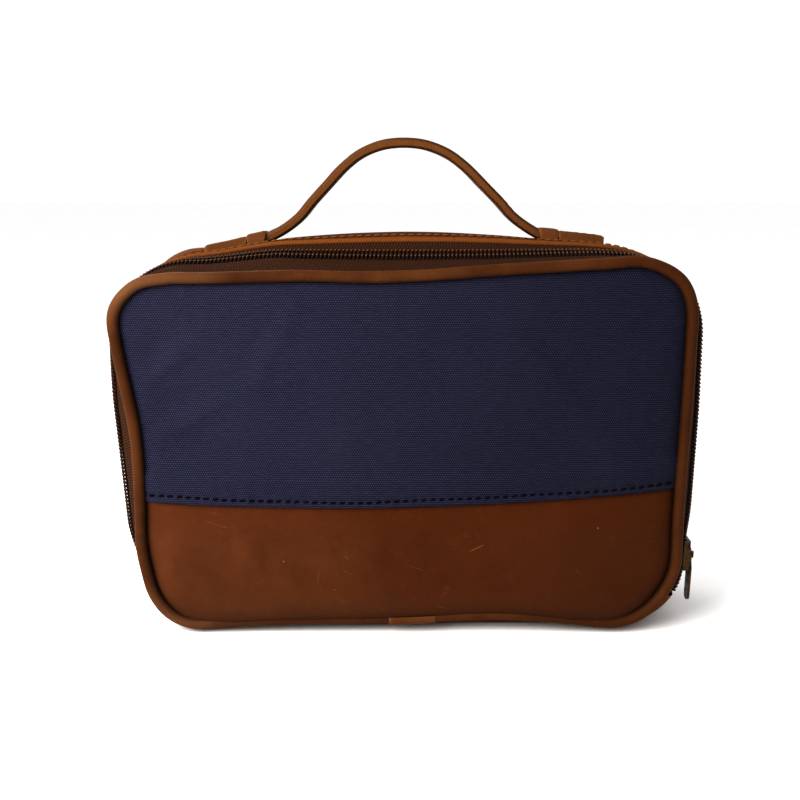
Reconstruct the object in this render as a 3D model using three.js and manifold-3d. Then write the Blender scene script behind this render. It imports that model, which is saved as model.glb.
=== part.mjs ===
// Soft wash bag with a clamshell front: two upright panels edged with piping,
// a gusset between them that carries the zip, and an arched carrying strap.
// Units are millimetres, +Z up, the front faces -Y and the base lies on Z = 0.
import * as THREE from 'three';
import { mergeVertices } from 'three/addons/utils/BufferGeometryUtils.js';
import Module from 'manifold-3d';

// ---- driving dimensions ---------------------------------------------------
const GAP = 0.35;                 // clearance between pieces that touch
const OUTLINE_WIDTH = 264;        // size over which the outline's corner radii are drawn
const OUTLINE_HEIGHT = 180;
const PIPING_RADIUS = 3.2;
const PANEL_INSET = 2 * PIPING_RADIUS + 0.5;
const FRONT_SEAM_Y = -36;         // plane of the front piping's centre line
const BACK_SEAM_Y = 36;
const ZIP_Y = -19.5;              // meeting line of the two coil halves
const CROWN_Y = 5;                // highest line of the gusset
const BASE_ARCH = 5;              // rise of the panels' lower edge at mid-width
const BASE_FLAT_HALF_DEPTH = 23;

const CANVAS = 1.0;               // thicknesses of the layers
const LEATHER = 1.4;
const STIFFENER = 2.4;
const LINING = 0.8;
const OUTER_FACE = 36.6;          // panel face beside the piping, from the mid-plane
const PANEL_DOME = 1.6;           // forward swell of a panel's middle
const DOME_HALF_WIDTH = 122;
const DOME_HALF_HEIGHT = 82;
const DOME_CENTRE_Z = 90;
const HEM_HEIGHT = 64;            // canvas hem above the floor at mid-width
const HEM_SLOPE = 0.02;
const HEM_CURVE = 0.00044;
const HEM_LAP = 11;               // leather hidden under the canvas hem
const CANVAS_SETTLE = 1.8;        // height over which the canvas steps back above the lap
const SLEEVE_THICKNESS = 0.7;     // leather sleeve over the piping's joint
const SLEEVE_STEP_ANGLE = 15;
const SLEEVE_STEPS = 8;

const COIL_WIDTH = 3.4;
const COIL_HEIGHT = 3.6;
const COIL_GAP = 1.4;             // room for the slider's wedge
const TAPE = 0.8;
const TAPE_DEPTH = 1.6;           // tape below the coil's outer surface
const TAPE_SAG = 0.4;
const COIL_CORNER = 1.1;

const STRIP_FRONT_Y = -12;        // front edge of the leather strip behind the zip
const STRIP_THICKNESS = 1.2;
const BASE_FRONT_Y = -31.6;
const BASE_THICKNESS = 1.8;
const GUSSET_LINING_FRONT_Y = -9;
const GUSSET_LINING_DEPTH = 3.4;

const STRAP_WIDTH = 22;
const STRAP_THICKNESS = 4.0;
const STRAP_END_HALF = 1.3;       // half the strap's thickness where it lies on the gusset
const STRAP_LEG_HALF = 1.7;
const GRIP_JOINT = -0.3;          // meeting line of the grip's two layers
const STRAP_CENTRE_X = -1;
const STRAP_CENTRE_Y = 6;
const STRAP_LEAN = Math.tan(THREE.MathUtils.degToRad(5));
const STRAP_PIVOT_Z = 188;
const GRIP_START_Z = 202;         // below this the strap is free to flex
// Half of the strap: rise over the gusset where it lies, then height on the arch,
// both at a reach from the strap's middle.
const STRAP_LYING = [[97, 1.9], [84, 2.0], [70, 2.4]];
const STRAP_ARCH = [
  [62, 188.6], [53, 194.8], [46, 202], [38, 209.6], [29, 218], [20, 224.2], [10, 228], [0, 229],
];
const KEEPER = { from: 68, to: 76, rise: 4.2 };
const END_TAB = { from: 76.6, to: 98, rise: 3.7 };
const BRIDGE_HALF_DEPTH = 13.6;
const BRIDGE_THICKNESS = 1.4;
const STRAP_END_REACH = 67;       // the strap is held down beyond this reach

const SLIDER_LENGTH = 15;
const SLIDER_WIDTH = 10.4;
const SLIDER_CENTRE_Z = 34;
const PULL_LENGTH = 24;
const PULL_THICKNESS = 1.1;
const PULL_HALF_WIDTH = 3.2;
const PULL_NECK_HALF_WIDTH = 1.6;
const PIN_OUT = 3.3;              // pull's pin above the coil's outer surface
const PIN_RADIUS = 0.55;

// Each station is the bag's outline seen from the front at one depth.
// left, right and top are the sharp corners that the radii round off; rise lifts
// the top's middle and side swells the sides.
const FACE = {
  leftBase: -122, leftTop: -135, rightBase: 129, rightTop: 131,
  topLeft: 178, topRight: 180, rise: -4.6, side: 0.8,
  radiusTop: 33, radiusLeftBase: 26, radiusRightBase: 37,
};
const STATIONS = [
  { y: FRONT_SEAM_Y, ...FACE },
  { y: ZIP_Y, leftBase: -129, leftTop: -140, rightBase: 134.8, rightTop: 138.6,
    topLeft: 182.5, topRight: 182.5, rise: -1.8, side: 0,
    radiusTop: 40, radiusLeftBase: 38, radiusRightBase: 26 },
  { y: CROWN_Y, leftBase: -130, leftTop: -141, rightBase: 135, rightTop: 141,
    topLeft: 177.5, topRight: 178, rise: 9.4, side: 1.5,
    radiusTop: 51, radiusLeftBase: 38, radiusRightBase: 30 },
  { y: BACK_SEAM_Y, ...FACE },
];
const CORNER_STEPS = 6;
const BASE_STEPS = 8;
const SIDE_STEPS = 6;
const TOP_STEPS = 10;

const COLOURS = {
  canvas: '#2b2a3d', leather: '#6b3a20', piping: '#703c1b', zip: '#3a2017',
  lining: '#5a4a3c', board: '#8a8478', strap: '#77442a', tab: '#7c4a22', metal: '#8d7a55',
};

const wasm = await Module();
wasm.setup();
const group = new THREE.Group();

// ---- helpers: meshes ------------------------------------------------------
function addPiece(name, geometry, colour, roughness, metalness) {
  const material = new THREE.MeshStandardMaterial({ color: colour, roughness, metalness });
  const mesh = new THREE.Mesh(geometry, material);
  mesh.name = name;
  group.add(mesh);
  return mesh;
}

function geometryFrom(points, faces) {
  const geometry = new THREE.BufferGeometry();
  geometry.setAttribute('position', new THREE.Float32BufferAttribute(points.flat(), 3));
  geometry.setIndex(faces.flat());
  let volume = 0;
  for (const [a, b, c] of faces) {
    const [pa, pb, pc] = [points[a], points[b], points[c]].map((p) => new THREE.Vector3(...p));
    volume += pa.dot(pb.cross(pc));
  }
  if (volume < 0) geometry.setIndex(faces.map(([a, b, c]) => [a, c, b]).flat());
  return geometry;
}

function solidOf(geometry) {
  const bare = geometry.clone();
  bare.deleteAttribute('normal');
  bare.deleteAttribute('uv');
  const merged = mergeVertices(bare, 1e-4);
  const mesh = new wasm.Mesh({
    numProp: 3,
    vertProperties: new Float32Array(merged.attributes.position.array),
    triVerts: new Uint32Array(merged.index.array),
  });
  return new wasm.Manifold(mesh);
}

function geometryOf(solid) {
  const mesh = solid.getMesh();
  const geometry = new THREE.BufferGeometry();
  geometry.setAttribute('position', new THREE.Float32BufferAttribute(mesh.vertProperties, 3));
  geometry.setIndex(Array.from(mesh.triVerts));
  return geometry;
}

// ---- helpers: the bag's outline ---------------------------------------------
// Smooth curve through the stations' values, flat beyond the first and last.
function stationValue(key, y) {
  const last = STATIONS.length - 1;
  const depth = THREE.MathUtils.clamp(y, STATIONS[0].y, STATIONS[last].y);
  let i = 0;
  while (i < last - 1 && depth > STATIONS[i + 1].y) i += 1;
  const slope = (j) => {
    const before = STATIONS[Math.max(j - 1, 0)];
    const after = STATIONS[Math.min(j + 1, last)];
    return (after[key] - before[key]) / (after.y - before.y);
  };
  const a = STATIONS[i];
  const b = STATIONS[i + 1];
  const span = b.y - a.y;
  const t = (depth - a.y) / span;
  const fromA = (2 * t ** 3 - 3 * t ** 2 + 1) * a[key] + (t ** 3 - 2 * t ** 2 + t) * span * slope(i);
  const fromB = (3 * t ** 2 - 2 * t ** 3) * b[key] + (t ** 3 - t ** 2) * span * slope(i + 1);
  return fromA + fromB;
}

// The rounded outline at depth y, from mid-base to the right, over the top and back.
const outlineCache = new Map();
function outline(y) {
  if (outlineCache.has(y)) return outlineCache.get(y);
  const at = (key) => stationValue(key, y);
  const [width, height] = [OUTLINE_WIDTH, OUTLINE_HEIGHT];
  const corners = [
    { x: width, z: 0, r: at('radiusRightBase'), from: -90 },
    { x: width, z: height, r: at('radiusTop'), from: 0 },
    { x: 0, z: height, r: at('radiusTop'), from: 90 },
    { x: 0, z: 0, r: at('radiusLeftBase'), from: 180 },
  ];
  const arcs = corners.map(({ x, z, r, from }) => {
    const centre = [x === 0 ? r : width - r, z === 0 ? r : height - r];
    return Array.from({ length: CORNER_STEPS + 1 }, (_, k) => {
      const angle = THREE.MathUtils.degToRad(from + (90 * k) / CORNER_STEPS);
      return [centre[0] + r * Math.cos(angle), centre[1] + r * Math.sin(angle)];
    });
  });
  const middle = [width / 2, 0];
  const flat = [];
  const straight = (from, to, steps) => {
    for (let k = 0; k < steps; k += 1) {
      flat.push([from[0] + ((to[0] - from[0]) * k) / steps, from[1] + ((to[1] - from[1]) * k) / steps]);
    }
  };
  const [lowRight, topRight, topLeft, lowLeft] = arcs;
  straight(middle, lowRight[0], BASE_STEPS / 2);
  flat.push(...lowRight.slice(0, -1));
  straight(lowRight.at(-1), topRight[0], SIDE_STEPS);
  flat.push(...topRight.slice(0, -1));
  straight(topRight.at(-1), topLeft[0], TOP_STEPS);
  flat.push(...topLeft.slice(0, -1));
  straight(topLeft.at(-1), lowLeft[0], SIDE_STEPS);
  flat.push(...lowLeft.slice(0, -1));
  straight(lowLeft.at(-1), middle, BASE_STEPS / 2);

  const lift = Math.max(0, (Math.abs(y) - BASE_FLAT_HALF_DEPTH) / (BACK_SEAM_Y - BASE_FLAT_HALF_DEPTH));
  const arch = BASE_ARCH * Math.min(1, lift) ** 2;
  const points = flat.map(([px, pz]) => {
    const u = px / width;
    const v = pz / height;
    const left = THREE.MathUtils.lerp(at('leftBase'), at('leftTop'), v);
    const right = THREE.MathUtils.lerp(at('rightBase'), at('rightTop'), v);
    const bulge = at('side') * 4 * v * (1 - v) * (2 * u - 1);
    const mid = (1 - (2 * u - 1) ** 2) ** 2;
    const top = THREE.MathUtils.lerp(at('topLeft'), at('topRight'), u) + at('rise') * mid;
    return [THREE.MathUtils.lerp(left, right, u) + bulge, v * top + (1 - v) * arch * mid];
  });
  outlineCache.set(y, points);
  return points;
}

const LOOP = outline(FRONT_SEAM_Y).length;
const BASE_RIGHT = BASE_STEPS / 2;
const SIDE_RIGHT = BASE_RIGHT + CORNER_STEPS;
const TOP_RIGHT = SIDE_RIGHT + SIDE_STEPS;
const TOP_LEFT = TOP_RIGHT + CORNER_STEPS + TOP_STEPS;
const SIDE_LEFT = TOP_LEFT + CORNER_STEPS;
const BASE_LEFT = SIDE_LEFT + SIDE_STEPS;
const ZIP_START = SIDE_RIGHT - 2;
const ZIP_END = BASE_LEFT + 2;
const BASE_MARGIN = 0.35;         // share of a corner step left free beside the zip's ends

// Point k of the outline at depth y, moved outward by `out`; k may lie between corners.
function loopPoint(k, y, out, levelWith) {
  const points = outline(levelWith ?? y);
  const wrap = (i) => points[((i % LOOP) + LOOP) % LOOP];
  const exact = (i) => {
    const [[ax, az], [bx, bz]] = [wrap(i - 1), wrap(i + 1)];
    const length = Math.hypot(bx - ax, bz - az);
    const [x, z] = wrap(i);
    return [x + (out * (bz - az)) / length, z - (out * (bx - ax)) / length];
  };
  const whole = Math.floor(k);
  const [[x1, z1], [x2, z2]] = [exact(whole), exact(whole + 1)];
  return [THREE.MathUtils.lerp(x1, x2, k - whole), y, THREE.MathUtils.lerp(z1, z2, k - whole)];
}

// Both end faces of a swept section whose second half runs back along the first.
function endCaps(corners, end) {
  const faces = [];
  for (let a = 0; a < corners / 2 - 1; a += 1) {
    const [b, c, d] = [a + 1, corners - 2 - a, corners - 1 - a];
    faces.push([b, a, d], [b, d, c], [end + a, end + b, end + c], [end + a, end + c, end + d]);
  }
  return faces;
}

// A section of {y, out, level} corners swept round the outline.
function sweep(section, from, to) {
  const closed = from === undefined;
  const stops = closed ? [] : [from];
  for (let k = closed ? 0 : Math.floor(from) + 1; k < (closed ? LOOP : to); k += 1) stops.push(k);
  if (!closed) stops.push(to);
  const count = stops.length;
  const corners = section.length;
  const points = [];
  for (const k of stops) {
    for (const { y, out, level } of section) points.push(loopPoint(k, y, out, level));
  }
  const faces = [];
  const rings = closed ? count : count - 1;
  for (let i = 0; i < rings; i += 1) {
    const next = ((i + 1) % count) * corners;
    for (let j = 0; j < corners; j += 1) {
      const a = i * corners + j;
      const b = i * corners + ((j + 1) % corners);
      const c = next + ((j + 1) % corners);
      const d = next + j;
      faces.push([a, b, c], [a, c, d]);
    }
  }
  if (!closed) faces.push(...endCaps(corners, (count - 1) * corners));
  return geometryFrom(points, faces);
}

// A band of constant thickness that follows the gusset from one depth to another.
function bandSection(yFrom, yTo, out, thickness, steps) {
  const depths = Array.from({ length: steps + 1 }, (_, i) => yFrom + ((yTo - yFrom) * i) / steps);
  const outer = depths.map((y) => ({ y, out }));
  const inner = depths.map((y) => ({ y, out: out - thickness })).reverse();
  return [...outer, ...inner];
}

function roundSection(y, out, radius, sides) {
  return Array.from({ length: sides }, (_, i) => {
    const angle = (2 * Math.PI * (i + 0.5)) / sides;
    return { y: y + radius * Math.cos(angle), out: out + radius * Math.sin(angle), level: y };
  });
}

// ---- helpers: flat panels -------------------------------------------------------
function hemHeight(x) {
  return HEM_HEIGHT + HEM_SLOPE * x + HEM_CURVE * x * x;
}

function insetPath(from, to) {
  const path = [];
  for (let k = from; k <= to; k += 1) {
    const [x, , z] = loopPoint(k, FRONT_SEAM_Y, -PANEL_INSET);
    path.push([x, z]);
  }
  return path;
}

function pointAlong(path, fraction) {
  const lengths = path.slice(1).map((p, i) => Math.hypot(p[0] - path[i][0], p[1] - path[i][1]));
  let left = fraction * lengths.reduce((sum, l) => sum + l, 0);
  let i = 0;
  while (i < lengths.length - 1 && left > lengths[i]) {
    left -= lengths[i];
    i += 1;
  }
  const t = Math.min(1, left / lengths[i]);
  return [0, 1].map((axis) => THREE.MathUtils.lerp(path[i][axis], path[i + 1][axis], t));
}

// Divides an upward path where it crosses the hem line raised by `lift`.
function splitAtHem(path, lift) {
  const above = ([x, z]) => z - hemHeight(x) - lift;
  const i = path.findIndex((p) => above(p) > 0);
  const [p, q] = [path[i - 1], path[i]];
  const t = above(p) / (above(p) - above(q));
  const crossing = [0, 1].map((axis) => THREE.MathUtils.lerp(p[axis], q[axis], t));
  return { lower: [...path.slice(0, i), crossing], upper: [crossing, ...path.slice(i)] };
}

// Rows of points that fill the area between four border paths.
function fillRows(base, top, left, right, rows, columns) {
  const [c00, c10] = [base[0], base.at(-1)];
  const [c01, c11] = [top[0], top.at(-1)];
  return Array.from({ length: rows + 1 }, (_, r) => {
    const v = r / rows;
    return Array.from({ length: columns + 1 }, (_, c) => {
      const u = c / columns;
      const [b, t] = [pointAlong(base, u), pointAlong(top, u)];
      const [l, m] = [pointAlong(left, v), pointAlong(right, v)];
      return [0, 1].map((axis) => (1 - v) * b[axis] + v * t[axis] + (1 - u) * l[axis] + u * m[axis]
        - (1 - u) * (1 - v) * c00[axis] - u * (1 - v) * c10[axis]
        - (1 - u) * v * c01[axis] - u * v * c11[axis]);
    });
  });
}

function panelRows(lift, lowerRows, upperRows, columns) {
  const half = CORNER_STEPS / 2;
  const base = [...insetPath(BASE_LEFT + half, LOOP), ...insetPath(1, BASE_RIGHT + half)];
  const right = splitAtHem(insetPath(BASE_RIGHT + half, TOP_RIGHT + half), lift);
  const top = insetPath(TOP_RIGHT + half, TOP_LEFT + half).reverse();
  const left = splitAtHem(insetPath(TOP_LEFT + half, BASE_LEFT + half).reverse(), lift);
  const [x0, x1] = [left.upper[0][0], right.upper[0][0]];
  const hem = Array.from({ length: 13 }, (_, i) => {
    const x = THREE.MathUtils.lerp(x0, x1, i / 12);
    return [x, hemHeight(x) + lift];
  });
  return {
    lower: fillRows(base, hem, left.lower, right.lower, lowerRows, columns),
    upper: fillRows(hem, top, left.upper, right.upper, upperRows, columns),
  };
}

// A slab over rows of points; face(x, z, row) gives how far its front stands forward.
function slab(rows, face, thickness, back) {
  const side = back ? 1 : -1;
  const columns = rows[0].length;
  const count = rows.length * columns;
  const dome = (x, z) => {
    const across = 1 - (x / DOME_HALF_WIDTH) ** 2;
    const upward = 1 - ((z - DOME_CENTRE_Z) / DOME_HALF_HEIGHT) ** 2;
    return PANEL_DOME * Math.max(0, across) * Math.max(0, upward);
  };
  const layer = (extra) => rows.flatMap((row, r) => row.map(([x, z]) => {
    const forward = face(x, z, r) + dome(x, z) - extra;
    return [x, side * forward, z];
  }));
  const points = [...layer(0), ...layer(thickness)];
  const faces = [];
  for (let r = 0; r < rows.length - 1; r += 1) {
    for (let c = 0; c < columns - 1; c += 1) {
      const [a, b] = [r * columns + c, r * columns + c + 1];
      const [d, e] = [a + columns, b + columns];
      faces.push([a, b, e], [a, e, d]);
      faces.push([count + a, count + e, count + b], [count + a, count + d, count + e]);
    }
  }
  const rim = [];
  for (let c = 0; c < columns - 1; c += 1) rim.push(c);
  for (let r = 0; r < rows.length - 1; r += 1) rim.push(r * columns + columns - 1);
  for (let c = columns - 1; c > 0; c -= 1) rim.push((rows.length - 1) * columns + c);
  for (let r = rows.length - 1; r > 0; r -= 1) rim.push(r * columns);
  rim.forEach((a, i) => {
    const b = rim[(i + 1) % rim.length];
    faces.push([a, count + b, b], [a, count + a, count + b]);
  });
  return geometryFrom(points, faces);
}

// ---- the two panels with their edging ----------------------------------------------
const COLUMNS = 14;
const hemRows = panelRows(0, 4, 6, COLUMNS);
const lapRows = panelRows(HEM_LAP, 4, 5, COLUMNS);
const plainRows = [...lapRows.lower, ...lapRows.upper.slice(1)];
const lapBand = Array.from({ length: 3 }, (_, r) => hemRows.upper[0].map(([x], c) => {
  const t = r / 2;
  return [x, hemRows.upper[0][c][1] + t * (HEM_LAP + 1)];
}));
const canvasRows = [...lapBand, ...panelRows(HEM_LAP + 3, 4, 5, COLUMNS).upper];

const canvasFace = (x, z) => {
  const lap = THREE.MathUtils.clamp((hemHeight(x) + HEM_LAP + 3 - z) / CANVAS_SETTLE, 0, 1);
  return OUTER_FACE + lap * (CANVAS + GAP);
};
const leatherFace = () => OUTER_FACE;
const boardFace = () => OUTER_FACE - LEATHER - GAP;
const liningFace = () => OUTER_FACE - LEATHER - STIFFENER - 2 * GAP;

function addPanel(prefix, back) {
  addPiece(`${prefix}_canvas_panel`, slab(canvasRows, canvasFace, CANVAS, back), COLOURS.canvas, 0.9, 0);
  const leatherPanel = slab(lapRows.lower, leatherFace, LEATHER, back);
  addPiece(`${prefix}_leather_panel`, leatherPanel, COLOURS.leather, 0.6, 0);
  addPiece(`${prefix}_stiffener`, slab(plainRows, boardFace, STIFFENER, back), COLOURS.board, 0.9, 0);
  addPiece(`${prefix}_lining`, slab(plainRows, liningFace, LINING, back), COLOURS.lining, 0.8, 0);
  const y = back ? BACK_SEAM_Y : FRONT_SEAM_Y;
  const piping = sweep(roundSection(y, -PIPING_RADIUS, PIPING_RADIUS, 8));
  addPiece(`${prefix}_piping`, piping, COLOURS.piping, 0.6, 0);
  const sleeve = PIPING_RADIUS + GAP;
  const outward = back ? 0 : Math.PI;
  const firstStep = (back ? 1 : -1) - SLEEVE_STEPS / 2;
  const arc = (radius) => Array.from({ length: SLEEVE_STEPS + 1 }, (_, i) => {
    const angle = outward + THREE.MathUtils.degToRad(SLEEVE_STEP_ANGLE * (firstStep + i));
    return { y: y + radius * Math.cos(angle), out: -PIPING_RADIUS + radius * Math.sin(angle), level: y };
  });
  const sleeveSection = [...arc(sleeve + SLEEVE_THICKNESS), ...arc(sleeve).reverse()];
  addPiece(`${prefix}_piping_wrap`, sweep(sleeveSection, LOOP - 0.5, LOOP + 0.5), COLOURS.tab, 0.6, 0);
}
addPanel('front', false);
addPanel('back', true);

// ---- gusset: zip, top strip, base and lining -------------------------------------------
const tapeEdge = COIL_GAP / 2 + COIL_WIDTH + GAP;
function coilSection(side) {
  const near = ZIP_Y + (side * COIL_GAP) / 2;
  const far = near + side * COIL_WIDTH;
  const corner = COIL_CORNER;
  return [
    { y: near, out: -COIL_HEIGHT + corner, level: ZIP_Y }, { y: near, out: -corner, level: ZIP_Y },
    { y: near + side * corner, out: 0, level: ZIP_Y }, { y: far - side * corner, out: 0, level: ZIP_Y },
    { y: far, out: -corner, level: ZIP_Y }, { y: far, out: -COIL_HEIGHT + corner, level: ZIP_Y },
    { y: far - side * corner, out: -COIL_HEIGHT, level: ZIP_Y },
    { y: near + side * corner, out: -COIL_HEIGHT, level: ZIP_Y },
  ];
}
function tapeSection(yCoil, yFar) {
  const yMid = (yCoil + yFar) / 2;
  const path = [
    { y: yCoil, level: ZIP_Y, out: -TAPE_DEPTH },
    { y: yMid, out: -TAPE_DEPTH - TAPE_SAG / 2 },
    { y: yFar, out: -TAPE_DEPTH - TAPE_SAG },
  ];
  return [...path, ...path.map((p) => ({ ...p, out: p.out - TAPE })).reverse()];
}
addPiece('front_zip_coil', sweep(coilSection(-1), ZIP_START, ZIP_END), COLOURS.zip, 0.5, 0);
addPiece('back_zip_coil', sweep(coilSection(1), ZIP_START, ZIP_END), COLOURS.zip, 0.5, 0);
addPiece('front_zip_tape', sweep(tapeSection(ZIP_Y - tapeEdge, FRONT_SEAM_Y + PIPING_RADIUS + GAP),
  ZIP_START, ZIP_END), COLOURS.zip, 0.9, 0);
const tapeUnderStrip = 4;
addPiece('back_zip_tape', sweep(tapeSection(ZIP_Y + tapeEdge, STRIP_FRONT_Y + tapeUnderStrip),
  ZIP_START, ZIP_END), COLOURS.zip, 0.9, 0);

const gussetBack = BACK_SEAM_Y - PIPING_RADIUS - GAP;
addPiece('gusset_strip', sweep(bandSection(STRIP_FRONT_Y, gussetBack, 0, STRIP_THICKNESS, 4),
  ZIP_START, ZIP_END), COLOURS.leather, 0.6, 0);
addPiece('bottom_gusset', sweep(bandSection(BASE_FRONT_Y, gussetBack, 0, BASE_THICKNESS, 6),
  ZIP_END + BASE_MARGIN, ZIP_START + LOOP - BASE_MARGIN), COLOURS.leather, 0.6, 0);
const liningBack = gussetBack - 3;
addPiece('gusset_lining', sweep(bandSection(GUSSET_LINING_FRONT_Y, liningBack, -GUSSET_LINING_DEPTH,
  LINING, 4)), COLOURS.lining, 0.8, 0);

// ---- handle: strap, keepers and end tabs -----------------------------------------------
function gussetHeight(x, y) {
  const top = outline(y).slice(TOP_RIGHT, TOP_LEFT + CORNER_STEPS + 1);
  const i = top.findIndex(([px], n) => n > 0 && px <= x);
  const [[x1, z1], [x2, z2]] = [top[i - 1], top[i]];
  return THREE.MathUtils.lerp(z1, z2, (x - x1) / (x2 - x1));
}

// Highest line of the gusset across the strap's width.
function crownHeight(x) {
  return Math.max(...[-5, -2, 1, 4, 8, 12].map((y) => gussetHeight(x, y)));
}

// Centre line of one half of the strap, from under the end tab to the top of the arch.
function strapPath(side) {
  const rest = (reach, height) => {
    const x = STRAP_CENTRE_X + side * reach;
    return [x, crownHeight(x) + height];
  };
  const arch = STRAP_ARCH.map(([reach, z]) => [STRAP_CENTRE_X + side * reach, z]);
  return [...STRAP_LYING.map(([reach, height]) => rest(reach, height)), ...arch];
}

function strapPiece(path, outer, inner) {
  const y = (z, edge) => STRAP_CENTRE_Y + edge + Math.max(0, z - STRAP_PIVOT_Z) * STRAP_LEAN;
  const half = STRAP_WIDTH / 2;
  const points = [];
  path.forEach(([x, z], i) => {
    const [px, pz] = path[Math.max(0, i - 1)];
    const [qx, qz] = path[Math.min(path.length - 1, i + 1)];
    const length = Math.hypot(qx - px, qz - pz);
    const [nx, nz] = [-(qz - pz) / length, (qx - px) / length];
    const sign = nz < 0 ? -1 : 1;
    for (const [edge, out] of [[-half, outer], [half, outer], [half, inner], [-half, inner]]) {
      const [ox, oz] = [x + sign * out * nx, z + sign * out * nz];
      points.push([ox, y(oz, edge), oz]);
    }
  });
  const faces = [];
  for (let i = 0; i < path.length - 1; i += 1) {
    for (let j = 0; j < 4; j += 1) {
      const [a, b] = [4 * i + j, 4 * i + ((j + 1) % 4)];
      faces.push([a, b, b + 4], [a, b + 4, a + 4]);
    }
  }
  const end = points.length - 4;
  faces.push([0, 2, 1], [0, 3, 2], [end, end + 1, end + 2], [end, end + 2, end + 3]);
  return geometryFrom(points, faces);
}

function finePath(path, steps) {
  const points = path.map(([x, z]) => new THREE.Vector3(x, 0, z));
  const curve = new THREE.CatmullRomCurve3(points, false, 'centripetal');
  return curve.getSpacedPoints(steps).map((p) => [p.x, p.z]);
}

const halves = { left: finePath(strapPath(-1), 40), right: finePath(strapPath(1), 40) };
for (const side of ['left', 'right']) {
  const path = halves[side];
  const reach = ([x]) => Math.abs(x - STRAP_CENTRE_X);
  const lying = path.filter((p) => reach(p) > STRAP_END_REACH);
  const legs = path.filter((p) => reach(p) < STRAP_END_REACH - GAP && p[1] < GRIP_START_Z);
  const end = strapPiece(lying, STRAP_END_HALF, -STRAP_END_HALF);
  const leg = strapPiece(legs, STRAP_LEG_HALF, -STRAP_LEG_HALF);
  addPiece(`handle_end_${side}`, end, COLOURS.strap, 0.6, 0);
  addPiece(`handle_leg_${side}`, leg, COLOURS.strap, 0.6, 0);
}
const grip = [
  ...halves.left.filter((p) => p[1] >= GRIP_START_Z),
  ...halves.right.filter((p) => p[1] >= GRIP_START_Z).reverse().slice(1),
];
const halfStrap = STRAP_THICKNESS / 2;
const gripLining = strapPiece(grip, GRIP_JOINT - GAP, -halfStrap);
addPiece('handle_grip', strapPiece(grip, halfStrap, GRIP_JOINT), COLOURS.strap, 0.6, 0);
addPiece('handle_grip_lining', gripLining, COLOURS.strap, 0.7, 0);

// A leather patch that wraps over the strap's end and down to the gusset.
function bridge(xFrom, xTo, rise) {
  const clearance = STRAP_WIDTH / 2 + GAP;
  const [foot, shoulder] = [clearance + 1.6, clearance - 0.4];
  const inner = [[-BRIDGE_HALF_DEPTH, GAP], [-foot, GAP], [-shoulder, rise],
    [shoulder, rise], [foot, GAP], [BRIDGE_HALF_DEPTH, GAP]];
  const spread = [0, -0.9, -0.7, 0.7, 0.9, 0];
  const outer = inner.map(([y, h], i) => [y + spread[i], h + BRIDGE_THICKNESS]);
  const section = [...outer, ...inner.reverse()];
  const steps = 4;
  const points = [];
  for (let i = 0; i <= steps; i += 1) {
    const x = THREE.MathUtils.lerp(xFrom, xTo, i / steps);
    for (const [y, h] of section) {
      const raised = h > 1 + BRIDGE_THICKNESS ? crownHeight(x) : gussetHeight(x, STRAP_CENTRE_Y + y);
      points.push([x, STRAP_CENTRE_Y + y, raised + h]);
    }
  }
  const corners = section.length;
  const faces = [];
  for (let i = 0; i < steps; i += 1) {
    for (let j = 0; j < corners; j += 1) {
      const [a, b] = [i * corners + j, i * corners + ((j + 1) % corners)];
      faces.push([a, b, b + corners], [a, b + corners, a + corners]);
    }
  }
  faces.push(...endCaps(corners, steps * corners));
  return geometryFrom(points, faces);
}
for (const [side, sign] of [['left', -1], ['right', 1]]) {
  const x = (reach) => STRAP_CENTRE_X + sign * reach;
  for (const [name, { from, to, rise }] of [['keeper', KEEPER], ['handle_tab', END_TAB]]) {
    addPiece(`${name}_${side}`, bridge(x(from), x(to), rise), COLOURS.tab, 0.6, 0);
  }
}

// ---- zip slider and its pull --------------------------------------------------------------
const zipStation = STATIONS[1];
const zipLean = zipStation.rightTop - zipStation.rightBase;
const zipRun = new THREE.Vector3(zipLean, 0, zipStation.topRight).normalize();
const zipX = zipStation.rightBase + (zipRun.x / zipRun.z) * SLIDER_CENTRE_Z;

function block(xFrom, xTo, yFrom, yTo, zFrom, zTo) {
  const geometry = new THREE.BoxGeometry(xTo - xFrom, yTo - yFrom, zTo - zFrom);
  geometry.translate((xFrom + xTo) / 2, (yFrom + yTo) / 2, (zFrom + zTo) / 2);
  return solidOf(geometry);
}

function crossRod(radius, length) {
  const rod = new THREE.CylinderGeometry(radius, radius, length, 12);
  rod.translate(PIN_OUT, 0, 0);
  return solidOf(rod);
}

// Slider in its own axes: X away from the bag, Y across the zip, Z along it.
function sliderSolid() {
  const half = SLIDER_LENGTH / 2;
  const wide = SLIDER_WIDTH / 2;
  const [plateFrom, plateTo] = [0.4, 1.8];
  const outerPlate = block(plateFrom, plateTo, -wide, wide, -half, half);
  const innerFrom = -COIL_HEIGHT - 1.6;
  const innerPlate = block(innerFrom, innerFrom + 1.2, -wide + 1, wide - 1, -half, half);
  const wedge = block(-COIL_HEIGHT - 1, 1, -0.4, 0.4, -half + 0.5, -half + 3.5);
  let body = outerPlate.add(innerPlate).add(wedge);
  for (const side of [-1, 1]) {
    const edges = [side * wide, side * (wide - 0.75)].sort((a, b) => a - b);
    const lugEdges = [side * 2, side * 2.9].sort((a, b) => a - b);
    body = body.add(block(-TAPE_DEPTH + GAP, plateTo, ...edges, -half, half));
    body = body.add(block(1.6, 4.2, ...lugEdges, -1.6, 1.6));
  }
  return body.add(crossRod(PIN_RADIUS, 5.4));
}

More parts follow.
